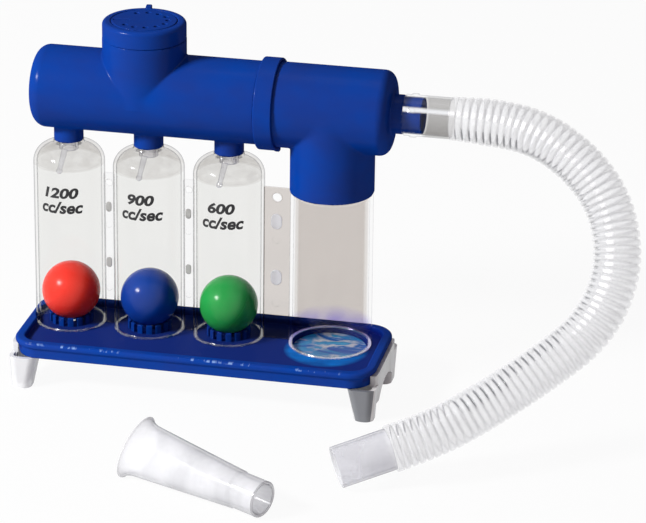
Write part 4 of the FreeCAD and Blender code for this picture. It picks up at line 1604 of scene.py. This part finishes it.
@dataclass
class Manifold:
    """Blue tube with its tower, spouts and bell, and the blue tee with its branch and spigot."""

    palette: Palette
    tube_r: float = 19.6
    tube_wall: float = 2.0
    end_round: float = 6.0
    bell_r: float = 21.75
    bell_length: float = 9.3
    bell_lead: float = 0.6
    bell_fillet: float = 0.6
    tower_r: float = 19.8
    tower_sink: float = 2.4
    tower_x: float = -31.0
    tower_fillet: float = 0.5
    spout_r: float = 7.0
    spout_bore: float = 6.05
    spout_fillet: float = 0.8
    latch_length: float = 2.6
    latch_width: float = 3.0
    latch_drop: float = 1.6
    plate_r: float = 17.8
    plate_depth: float = 2.4
    plate_ledge: float = 1.6
    tee_r: float = 20.05
    tee_wall: float = 2.1
    tee_round: float = 5.0
    tee_clearance: float = 0.2
    branch_r: float = 19.9
    branch_bore: float = 18.2
    branch_bore_height: float = 9.0
    branch_ledge: float = 1.9
    branch_fillet: float = 0.9
    spigot_r: float = 8.7
    spigot_wall: float = 1.5
    shoulder_r: float = 9.2
    shoulder_length: float = 5.4
    shoulder_fillet: float = 0.8
    spigot_length: float = 14.5
    root: float = 4.0
    edge: float = 0.3
    cell: float = 0.75

    def build(self) -> None:
        """Makes the tube and the tee."""
        self.tube = Span.of("manifold_tube")
        self.tee = Span.of("manifold_tee")
        self.axis_z = float(Span.of("hose_cuff_near").middle[2])
        self.ball_xs = [float(Span.of("ball_" + n).middle[0]) for n in BALL_NAMES]
        self.trap_x = float(Span.of("trap_disc").middle[0])
        self.tee_end = float(self.tee.high[0]) - self.spigot_length
        tube = Solid(self.tube_field, self.tube.low, self.tube.high, self.cell).piece("manifold_left")
        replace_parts(dress(tube, self.palette.blue, "blue_plastic", Body.STAND.value), "manifold_tube")
        tee = Solid(self.tee_field, self.tee.low, self.tee.high, self.cell).piece("manifold_right")
        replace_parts(dress(tee, self.palette.blue, "blue_plastic", Body.STAND.value), "manifold_tee")

    def tube_field(self, x: Array, y: Array, z: Array) -> Array:
        """Round-ended tube, bell and spouts with small fillets, and the tower, hollowed out."""
        radial = np.hypot(y, z - self.axis_z)
        left, right = float(self.tube.low[0]), float(self.tube.high[0])
        low, high = self.tube.low[2], self.tube.high[2]
        bell_start = right - self.bell_length
        body = cylinder(radial, x, self.tube_r, left, right - 1, self.end_round)
        straight = cylinder(radial, x, self.tube_r, left + 2 * self.end_round, right - 1)
        body = np.minimum(body, straight)
        bell = cylinder(radial, x, self.bell_r, bell_start + self.bell_lead, right, 0.5)
        body = blended(body, bell, self.bell_fillet)
        tower_radial = np.hypot(x - self.tower_x, y)
        tower_low = self.axis_z - self.tower_sink
        tower = cylinder(tower_radial, z, self.tower_r, tower_low, high, self.edge)
        body = blended(body, tower, self.tower_fillet)
        for centre in self.ball_xs:
            spout = cylinder(np.hypot(x - centre, y), z, self.spout_r, low, self.axis_z, self.edge)
            body = blended(body, spout, self.spout_fillet)
        half_length, half_width = self.latch_length / 2, self.latch_width / 2
        flat = slab(x - right + half_length, y, half_length, half_width, 0.4)
        bell_low = self.axis_z - self.bell_r
        body = np.minimum(body, extruded(flat, z, bell_low - self.latch_drop, bell_low + 1))
        wall = self.tube_wall
        bore_round = self.end_round - wall
        bore = cylinder(radial, x, self.tube_r - wall, left + wall, right + PAST, bore_round)
        body = carved(body, bore)
        socket_r = self.tee_r + self.tee_clearance
        body = carved(body, cylinder(radial, x, socket_r, bell_start + 0.5, right + PAST), 0.4)
        below = 1000 * (z < self.axis_z)
        body = carved(body, tower_radial - self.plate_r + self.plate_ledge + below, 0.2)
        seat = cylinder(tower_radial, z, self.plate_r, high - self.plate_depth, high + PAST)
        body = carved(body, seat, 0.2)
        for centre in self.ball_xs:
            hole_radial = np.hypot(x - centre, y)
            hole = cylinder(hole_radial, z, self.spout_bore, low - PAST, self.axis_z - 10)
            body = carved(body, hole)
        return body

    def tee_field(self, x: Array, y: Array, z: Array) -> Array:
        """Round-ended tube with a filleted branch below and a stepped spigot at its end, hollowed out."""
        radial = np.hypot(y, z - self.axis_z)
        start, end = float(self.tee.low[0]), float(self.tee.high[0])
        low = float(self.tee.low[2])
        middle = (start + self.tee_end) / 2
        body = cylinder(radial, x, self.tee_r, start, middle, self.edge)
        body = np.minimum(body, cylinder(radial, x, self.tee_r, start + 12, self.tee_end, self.tee_round))
        branch_radial = np.hypot(x - self.trap_x, y)
        branch = cylinder(branch_radial, z, self.branch_r, low, self.axis_z, self.edge)
        body = blended(body, branch, self.branch_fillet)
        root = self.tee_end - self.root
        shoulder_end = self.tee_end + self.shoulder_length
        shoulder = cylinder(radial, x, self.shoulder_r, root, shoulder_end, self.edge)
        body = blended(body, shoulder, self.shoulder_fillet)
        body = np.minimum(body, cylinder(radial, x, self.spigot_r, root, end, self.edge))
        wall = self.tee_wall
        bore_round = self.tee_round - wall
        bore = cylinder(radial, x, self.tee_r - wall, start - PAST, self.tee_end - wall, bore_round)
        body = carved(body, bore)
        socket_top = low + self.branch_bore_height
        body = carved(body, cylinder(branch_radial, z, self.branch_bore, low - PAST, socket_top))
        passage_r = self.branch_bore - self.branch_ledge
        body = carved(body, cylinder(branch_radial, z, passage_r, low, self.axis_z))
        spigot_bore = self.spigot_r - self.spigot_wall
        return carved(body, cylinder(radial, x, spigot_bore, self.trap_x, end + PAST))


@dataclass
class Dial:
    """Turning cap with a ring of vent holes, a pointer slot and a lug, and the parts that hold it."""

    palette: Palette
    height: float = 8.3
    wall: float = 1.8
    top: float = 2.2
    top_round: float = 2.0
    hole_r: float = 1.2
    hole_circle: float = 11.1
    hole_step: float = 28.0
    first_hole: float = -129.0
    holes: int = 10
    slot_angle: float = -172.0
    slot_start: float = 7.0
    slot_length: float = 7.6
    slot_width: float = 1.7
    slot_depth: float = 0.9
    groove_r: float = 15.6
    groove_width: float = 0.7
    groove_depth: float = 0.4
    lug_angle: float = 98.0
    lug_width: float = 2.8
    lug_sink: float = 2.6
    lug_height: float = 2.6
    lug_rise: float = 1.0
    lug_fillet: float = 0.5
    stem_r: float = 3.0
    cell: float = 0.3

    def build(self) -> None:
        """Makes the cap and dresses the vent plate and the clip."""
        self.span = Span.of("dial")
        self.centre = float(Span.of("vent_plate").middle[0])
        self.radius = float(self.centre - self.span.low[0])
        self.top_z = float(self.span.high[2]) - self.lug_rise
        piece = Solid(self.cap_field, self.span.low, self.span.high, self.cell).piece("dial_cap")
        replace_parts(dress(piece, self.palette.blue, "blue_plastic", Body.DIAL.value), "dial")
        dress_node(bpy.data.objects["vent_plate"], self.palette.blue)
        dress_node(bpy.data.objects["dial_clip"], self.palette.clip)

    def cap_field(self, x: Array, y: Array, z: Array) -> Array:
        """Round cap with a lug and a stem, less its hollow, the vent holes, the slot and the groove.

        The slot widens from half its width at its inner end to all of it at its outer end.
        """
        px, py = x - self.centre, y
        radial = np.hypot(px, py)
        bottom = self.top_z - self.height
        cap = cylinder(radial, z, self.radius, bottom - self.height, self.top_z, self.top_round)
        cap = np.maximum(cap, bottom - z)
        turn = math.radians(self.lug_angle)
        along = px * math.cos(turn) + py * math.sin(turn)
        across = -px * math.sin(turn) + py * math.cos(turn)
        reach = float(self.span.high[1]) - (self.radius - self.lug_sink)
        outward = along - self.radius + self.lug_sink - reach / 2
        flat = slab(outward, across, reach / 2, self.lug_width / 2, 0.6)
        lug_top = float(self.span.high[2])
        cap = blended(cap, extruded(flat, z, self.top_z - self.lug_height, lug_top, 0.4), self.lug_fillet)
        under = self.top_z - self.top
        cap = carved(cap, cylinder(radial, z, self.radius - self.wall, bottom - 20, under), 0.3)
        low = float(self.span.low[2])
        cap = np.minimum(cap, cylinder(radial, z, self.stem_r, low, under + 1, 0.3))
        for i in range(self.holes):
            angle = math.radians(self.first_hole + i * self.hole_step)
            hx, hy = self.hole_circle * math.cos(angle), self.hole_circle * math.sin(angle)
            cap = carved(cap, np.maximum(np.hypot(px - hx, py - hy) - self.hole_r, bottom - z), 0.25)
        turn = math.radians(self.slot_angle)
        along = px * math.cos(turn) + py * math.sin(turn) - self.slot_start - self.slot_length / 2
        across = -px * math.sin(turn) + py * math.cos(turn)
        taper = self.slot_width / 2 * (0.75 + 0.5 * np.clip(along / self.slot_length, -0.5, 0.5))
        flat = np.maximum(np.abs(along) - self.slot_length / 2, np.abs(across) - taper)
        cap = carved(cap, extruded(flat, z, self.top_z - self.slot_depth, self.top_z + PAST), 0.25)
        groove = np.abs(radial - self.groove_r) - self.groove_width / 2
        groove_low = self.top_z - self.groove_depth
        return carved(cap, extruded(groove, z, groove_low, self.top_z + PAST), 0.2)


@dataclass
class Hose:
    """Corrugated hose along its route, with the smooth cuffs at its ends."""

    palette: Palette
    route: tuple[Triple, ...] = (
        (0.1151, 0.0, 0.140),
        (0.139, 0.0, 0.140),
        (0.162, -0.005, 0.136),
        (0.184, -0.013, 0.122),
        (0.196, -0.022, 0.104),
        (0.199, -0.033, 0.082),
        (0.190, -0.046, 0.060),
        (0.168, -0.061, 0.044),
        (0.146, -0.076, 0.031),
        (0.127, -0.090, 0.022),
        (0.108, -0.099, 0.0163),
    )
    crest: float = 11.0
    groove: float = 9.7
    wall: float = 0.7
    pitch: float = 3.5
    plain_ends: float = 3.0
    full_depth_at: float = 16.0
    first_depth: float = 0.3
    first_step: float = 0.3
    sharpness: int = 4
    # Direction of the painted highlight line on the crests.
    lit_side: Triple = (-0.2, -0.83, 0.55)
    samples: int = 10
    columns: int = 65
    cuff_r: float = 9.7
    cuff_bore: float = 8.75
    bead_r: float = 10.3
    bead_start: float = 3.0
    bead_length: float = 3.0

    def build(self) -> None:
        line = self.centreline()
        hose = self.corrugated(line)
        near = self.near_cuff()
        far = self.far_cuff()
        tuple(self.route[0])
        2 * self.crest * MM

    def centreline(self) -> Array:
        """Points of the smooth line that has the route's points as its controls, in millimetres."""
        curve = bpy.data.curves.new("hose_line", "CURVE")
        curve.dimensions = "3D"
        curve.resolution_u = 64
        spline = curve.splines.new("NURBS")
        spline.points.add(len(self.route) - 1)
        for point, place in zip(spline.points, self.route):
            point.co = (*place, 1)
        spline.order_u = 3
        spline.use_endpoint_u = True
        source = bpy.data.objects.new("hose_line", curve)
        bpy.context.scene.collection.objects.link(source)
        bpy.context.view_layer.update()
        mesh = bpy.data.meshes.new_from_object(source)
        places = np.zeros(len(mesh.vertices) * 3)
        mesh.vertices.foreach_get("co", places)
        bpy.data.objects.remove(source)
        bpy.data.meshes.remove(mesh)
        return places.reshape(-1, 3) / MM

    def frames(self, line: Array, count: int) -> tuple[Array, Array, Array, Array]:
        """Even stations along a line, with a side and an up vector at each.

        Args:
            line: Points of the line.
            count: Number of stations.

        Returns:
            Distance along the line, and the point, the side and the up vector at each station.
        """
        steps = np.linalg.norm(np.diff(line, axis=0), axis=1)
        run = np.concatenate([[0], np.cumsum(steps)])
        station = np.linspace(0, run[-1], count)
        point = np.stack([np.interp(station, run, line[:, i]) for i in range(3)], axis=-1)
        tangent = np.gradient(point, axis=0)
        tangent /= np.linalg.norm(tangent, axis=1, keepdims=True)
        side = np.cross(tangent, np.array([0.35, -1.0, 0.25]))
        side /= np.linalg.norm(side, axis=1, keepdims=True)
        return station, point, side, np.cross(side, tangent)

    def corrugated(self, line: Array) -> bpy.types.Object:
        """Tube with round grooves, and its inner wall.

        A groove's depth along the line is ((1 + cos phase) / 2) to the power of its sharpness. The first
        rings grow from the cuff's size to their full size and depth. The mesh carries the grooves, the
        painted shade on the inside of the bend and the painted highlight line for the hose's material.
        """
        length = float(np.linalg.norm(np.diff(line, axis=0), axis=1).sum())
        rings = round((length - 2 * self.plain_ends) / self.pitch)
        count = (rings + 2) * self.samples + 1
        station, point, side, up = self.frames(line, count)
        phase = 2 * math.pi * rings * (station - self.plain_ends) / (length - 2 * self.plain_ends)
        groove = ((1 + np.cos(phase)) / 2) ** self.sharpness
        plain = (station < self.plain_ends) | (station > length - self.plain_ends)
        groove[plain] = 0
        start = np.clip(station / self.full_depth_at, 0, 1)
        first = self.cuff_r + self.first_step
        crest = first + (self.crest - first) * start
        depth = self.first_depth + (1 - self.first_depth) * start
        outer = crest - groove * (self.crest - self.groove) * depth
        inner = outer - self.wall
        radius = np.concatenate([outer, inner[::-1], outer[:1]])[:, None, None]
        angle = np.linspace(0, 2 * math.pi, self.columns)[None, :, None]
        order = np.concatenate([np.arange(count), np.arange(count)[::-1], [0]])
        around = side[order][:, None] * np.cos(angle) + up[order][:, None] * np.sin(angle)
        points = point[order][:, None] + radius * around
        # Painted shade: dark notches in the grooves on the inside of the bend.
        bend = np.gradient(np.gradient(point, axis=0), axis=0)
        bend /= np.maximum(np.linalg.norm(bend, axis=1, keepdims=True), 1e-9)
        inward = np.clip(((around * bend[order][:, None]).sum(axis=-1) - 0.8) / 0.15, 0, 1)
        narrow = np.clip(groove * 2 - 0.6, 0, 1)[order][:, None]
        # Painted highlight: a white line on the crests that face lit_side.
        towards_light = np.array(self.lit_side) / np.linalg.norm(self.lit_side)
        lit = np.clip(((around @ towards_light) - 0.965) / 0.025, 0, 1)
        values = {
            "groove": np.broadcast_to(groove[order][:, None], inward.shape).ravel(),
            "bend_shade": (inward * narrow).ravel(),
            "painted_highlight": (lit * (1 - np.clip(groove * 4, 0, 1))[order][:, None]).ravel(),
        }
        faces = grid_faces(*points.shape[:2])
        piece = make_piece("corrugated_hose", points.reshape(-1, 3), faces, values=values)
        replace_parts(dress(piece, self.palette.hose, "hose_plastic", Body.STAND.value), "hose")
        return piece

    def near_cuff(self) -> bpy.types.Object:
        """Cuff on the spigot, with a grip bead."""
        span = Span.of("hose_cuff_near")
        left, right = float(span.low[0]), float(span.high[0])
        bead = left + self.bead_start
        corners = [
            (self.cuff_bore, left),
            (self.cuff_bore, right),
            (self.cuff_r, right),
            (self.cuff_r, bead + self.bead_length),
            (self.bead_r, bead + self.bead_length),
            (self.bead_r, bead),
            (self.cuff_r, bead),
            (self.cuff_r, left),
        ]
        centre = np.array([0, 0, float(span.middle[2])])
        piece = lathe("cuff_on_spigot", softened(corners, 0.5), centre, Axis.X)
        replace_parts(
            dress(piece, self.palette.near_cuff, "hose_plastic", Body.STAND.value), "hose_cuff_near"
        )
        return piece

    def far_cuff(self) -> bpy.types.Object:
        """Cuff at the hose's free end, along the route's last run."""
        start = np.array(self.route[-1]) / MM
        way = start - np.array(self.route[-2]) / MM
        way /= np.linalg.norm(way)
        span = Span.of("hose_cuff_far")
        side = np.cross(way, [0, 0, 1])
        side /= np.linalg.norm(side)
        up = np.cross(side, way)
        reach = self.cuff_r * math.hypot(side[0], up[0])
        length = (start[0] - float(span.low[0]) - reach) / -way[0]
        corners = [
            (self.cuff_bore, 0),
            (self.cuff_bore, length),
            (self.cuff_r, length),
            (self.cuff_r, 0),
        ]
        profile = softened(corners, 0.35)
        angle = np.linspace(0, 2 * math.pi, self.columns)[None, :, None]
        around = side * np.cos(angle) + up * np.sin(angle)
        points = start + way * profile[:, 1][:, None, None] + around * profile[:, 0][:, None, None]
        piece = make_piece("cuff_at_free_end", points.reshape(-1, 3), grid_faces(*points.shape[:2]))
        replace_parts(dress(piece, self.palette.far_cuff, "hose_plastic", Body.STAND.value), "hose_cuff_far")
        return piece


@dataclass
class Mouthpiece:
    """Milky mouthpiece lying in front, flat at the lips and round where it plugs into the hose."""

    palette: Palette
    length: float = 74.0
    lip_width: float = 31.0
    lip_height: float = 17.0
    lip_reach: float = 7.0
    width: float = 26.6
    height: float = 14.4
    tip_r: float = 8.4
    tip_length: float = 14.0
    shoulder: float = 0.4
    wall: float = 1.3
    roll: float = 43.0
    heading: float = 334.3
    pitch: float = 2.9927
    tip: tuple[float, float] = (60.3, -147.1)
    rows: int = 90
    columns: int = 97

    def section(self, s: Array) -> tuple[Array, Array]:
        """Half width and half height at a distance from the lips.

        The body tapers evenly from the flat end to the round one. The lip adds a flare that falls with
        the square of the distance.
        """
        body = np.clip(s / (self.length - self.tip_length), 0, 1)
        wide = self.width / 2 * (1 - body) + (self.tip_r + self.shoulder) * body
        tall = self.height / 2 * (1 - body) + (self.tip_r + self.shoulder) * body
        flare = np.clip(1 - s / self.lip_reach, 0, 1) ** 2
        wide = wide + flare * (self.lip_width - self.width) / 2
        tall = tall + flare * (self.lip_height - self.height) / 2
        on_tip = np.clip((s - self.length + self.tip_length) / 0.8, 0, 1)
        return wide - on_tip * self.shoulder, tall - on_tip * self.shoulder

    def build(self) -> None:
        """Makes the outer wall, the rounded rims and the inner wall as one closed grid."""
        s = np.linspace(0, self.length, self.rows)
        s = np.unique(np.concatenate([s, np.linspace(0, self.lip_reach, 16), [self.length - 0.4]]))
        wide, tall = self.section(s)
        rim = np.full(len(s), self.wall / 2)
        middle = np.stack([s, wide - rim, tall - rim], axis=-1)
        bend = np.radians(np.linspace(90, 270, 9))
        half = self.wall / 2
        lip_cap = [(half * math.cos(a), half * math.sin(a)) for a in bend]
        rows = []
        for offset, grow in lip_cap[::-1]:
            rows.append(middle[0] + np.array([half + offset, grow, grow]))
        first = int(np.searchsorted(s, half))
        outer = middle[first + 1 : -1] + np.array([0, half, half])
        inner = middle[first + 1 : -1] - np.array([0, half, half])
        tip_cap = [middle[-1] + np.array([-half - o, g, g]) for o, g in lip_cap]
        loop = np.vstack([np.array(rows), outer, np.array(tip_cap), inner[::-1]])
        loop = np.vstack([loop, loop[:1]])
        angle = np.linspace(0, 2 * math.pi, self.columns)[None, :]
        local = np.stack(
            [
                loop[:, :1] - self.length + 0 * angle,
                loop[:, 1:2] * np.cos(angle),
                loop[:, 2:3] * np.sin(angle),
            ],
            axis=-1,
        )
        turn = Matrix.Rotation(math.radians(self.heading), 3, "Z")
        turn = turn @ Matrix.Rotation(math.radians(self.pitch), 3, "Y")
        turn = turn @ Matrix.Rotation(math.radians(self.roll), 3, "X")
        points = local.reshape(-1, 3) @ np.array(turn).T
        points += np.array([*self.tip, 0.0])
        points[:, 2] += float(Span.of("mouthpiece").low[2]) - points[:, 2].min()
        piece = make_piece("mouth_tube", points, grid_faces(*local.shape[:2]))
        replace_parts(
            dress(piece, self.palette.mouthpiece, "milky_plastic", Body.MOUTHPIECE.value), "mouthpiece"
        )


# Studio


@dataclass(frozen=True)
class PhotoCamera:
    """Camera at the photograph's angle, from a fit of its edges."""

    target: Triple = (0.05539, 0.0, 0.06305)
    distance: float = 1.6472
    azimuth: float = 11.66
    elevation: float = 22.08
    roll: float = 0.77
    focal_pixels: float = 3485.4

    def build(self) -> None:
        """Makes the camera and gives it to the scene."""
        a, e, r = (math.radians(v) for v in (self.azimuth, self.elevation, self.roll))
        back = Vector((math.sin(a) * math.cos(e), -math.cos(a) * math.cos(e), math.sin(e)))
        right = Vector((math.cos(a), math.sin(a), 0))
        up = back.cross(right)
        side = right * math.cos(r) + up * math.sin(r)
        top = up * math.cos(r) - right * math.sin(r)
        lens = bpy.data.cameras.new("camera")
        lens.sensor_width = SENSOR_WIDTH
        lens.lens = self.focal_pixels * SENSOR_WIDTH / IMAGE_WIDTH
        lens.clip_end = 50
        camera = bpy.data.objects.new("camera", lens)
        place = Matrix((side, top, back)).transposed().to_4x4()
        place.translation = Vector(self.target) + back * self.distance
        camera.matrix_world = place
        bpy.context.scene.collection.objects.link(camera)
        bpy.context.scene.camera = camera


@dataclass(frozen=True)
class Lamp:
    """Soft rectangular lamp that looks at the object."""

    name: str
    place: Triple
    size: tuple[float, float]
    power: float
    colour: Triple = WHITE
    target: Triple = (0.02, -0.01, 0.09)

    def build(self) -> None:
        """Makes the lamp."""
        data = bpy.data.lights.new(self.name, "AREA")
        data.shape = "RECTANGLE"
        data.size, data.size_y = self.size
        data.energy = self.power
        data.color = self.colour
        lamp = bpy.data.objects.new(self.name, data)
        lamp.location = self.place
        away = Vector(self.place) - Vector(self.target)
        lamp.rotation_euler = away.to_track_quat("Z", "Y").to_euler()
        bpy.context.scene.collection.objects.link(lamp)


@dataclass
class Studio:
    """Pale floor, soft lamps and a white surround."""

    floor_size: float = 12.0
    surround: float = 0.14
    surround_colour: Triple = (1.0, 0.86, 0.98)
    floor_glow: float = 0.94

    def build(self) -> None:
        """Makes the floor, the lamps, the world and the camera."""
        half = self.floor_size / 2
        corners = np.array([(-half, -half, 0), (half, -half, 0), (half, half, 0), (-half, half, 0)]) / MM
        floor = make_piece("floor", corners, np.array([[0, 1, 2, 3]]), np.tile([0.0, 0.0, 1.0], (4, 1)))
        floor.data.materials.append(self.floor_material())
        Lamp("key", place=(-0.95, -0.81, 0.90), size=(0.34, 0.2), power=28.0).build()
        Lamp("top", place=(0.1, 0.15, 1.5), size=(0.9, 0.6), power=1.6).build()
        fill_colour = (1.0, 0.84, 0.95)
        Lamp("fill", (0.9, -1.2, 0.6), size=(1.0, 1.0), power=0.8, colour=fill_colour).build()
        self.build_world()
        PhotoCamera().build()
        bpy.context.scene.view_settings.view_transform = "Standard"

    def floor_material(self) -> bpy.types.Material:
        """White to the eye and in gloss, and a plain pale floor under the object's shadow."""
        net = Net("floor")
        pale = net.shader(Base_Color=(0.75, 0.75, 0.75, 1), Roughness=0.9)
        white = net.node("ShaderNodeEmission").outputs[0]
        return net.finish(net.mixed(Value(net, seen_share(net.tree)) * self.floor_glow, pale, white))

    def build_world(self) -> None:
        """Even surround, white where the camera or a reflection sees it."""
        world = bpy.data.worlds.new("surround")
        bpy.context.scene.world = world
        world.use_nodes = True
        tree = world.node_tree
        tree.nodes.clear()
        lit = tree.nodes.new("ShaderNodeBackground")
        seen = tree.nodes.new("ShaderNodeBackground")
        mix = tree.nodes.new("ShaderNodeMixShader")
        output = tree.nodes.new("ShaderNodeOutputWorld")
        lit.inputs["Strength"].default_value = self.surround
        lit.inputs["Color"].default_value = (*self.surround_colour, 1)
        seen.inputs["Color"].default_value = (*WHITE, 1)
        seen.inputs["Strength"].default_value = 1.0
        tree.links.new(seen_share(tree), mix.inputs[0])
        tree.links.new(lit.outputs[0], mix.inputs[1])
        tree.links.new(seen.outputs[0], mix.inputs[2])
        tree.links.new(mix.outputs[0], output.inputs["Surface"])


def seen_share(tree: bpy.types.NodeTree) -> bpy.types.NodeSocket:
    """1 for rays from the eye, from gloss or through glass, and 0 for those that carry light."""
    path = tree.nodes.new("ShaderNodeLightPath")
    share = path.outputs["Is Camera Ray"]
    for name in ("Is Glossy Ray", "Is Transmission Ray"):
        larger = tree.nodes.new("ShaderNodeMath")
        larger.operation = "MAXIMUM"
        tree.links.new(share, larger.inputs[0])
        tree.links.new(path.outputs[name], larger.inputs[1])
        share = larger.outputs[0]
    return share


def main() -> None:
    """Builds every sub-assembly around the frame, in order."""
    logging.basicConfig(level=logging.INFO, format="%(name)s %(message)s")
    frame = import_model()
    log.info("frame with %d nodes", len(frame["nodes"]))
    Studio().build()
    palette = Palette.make()
    Hose(palette).build()
    Stand(palette).build()
    Chambers(palette).build()
    Balls(palette).build()
    Manifold(palette).build()
    Dial(palette).build()
    Mouthpiece(palette).build()


if __name__ == "__main__":
    main()
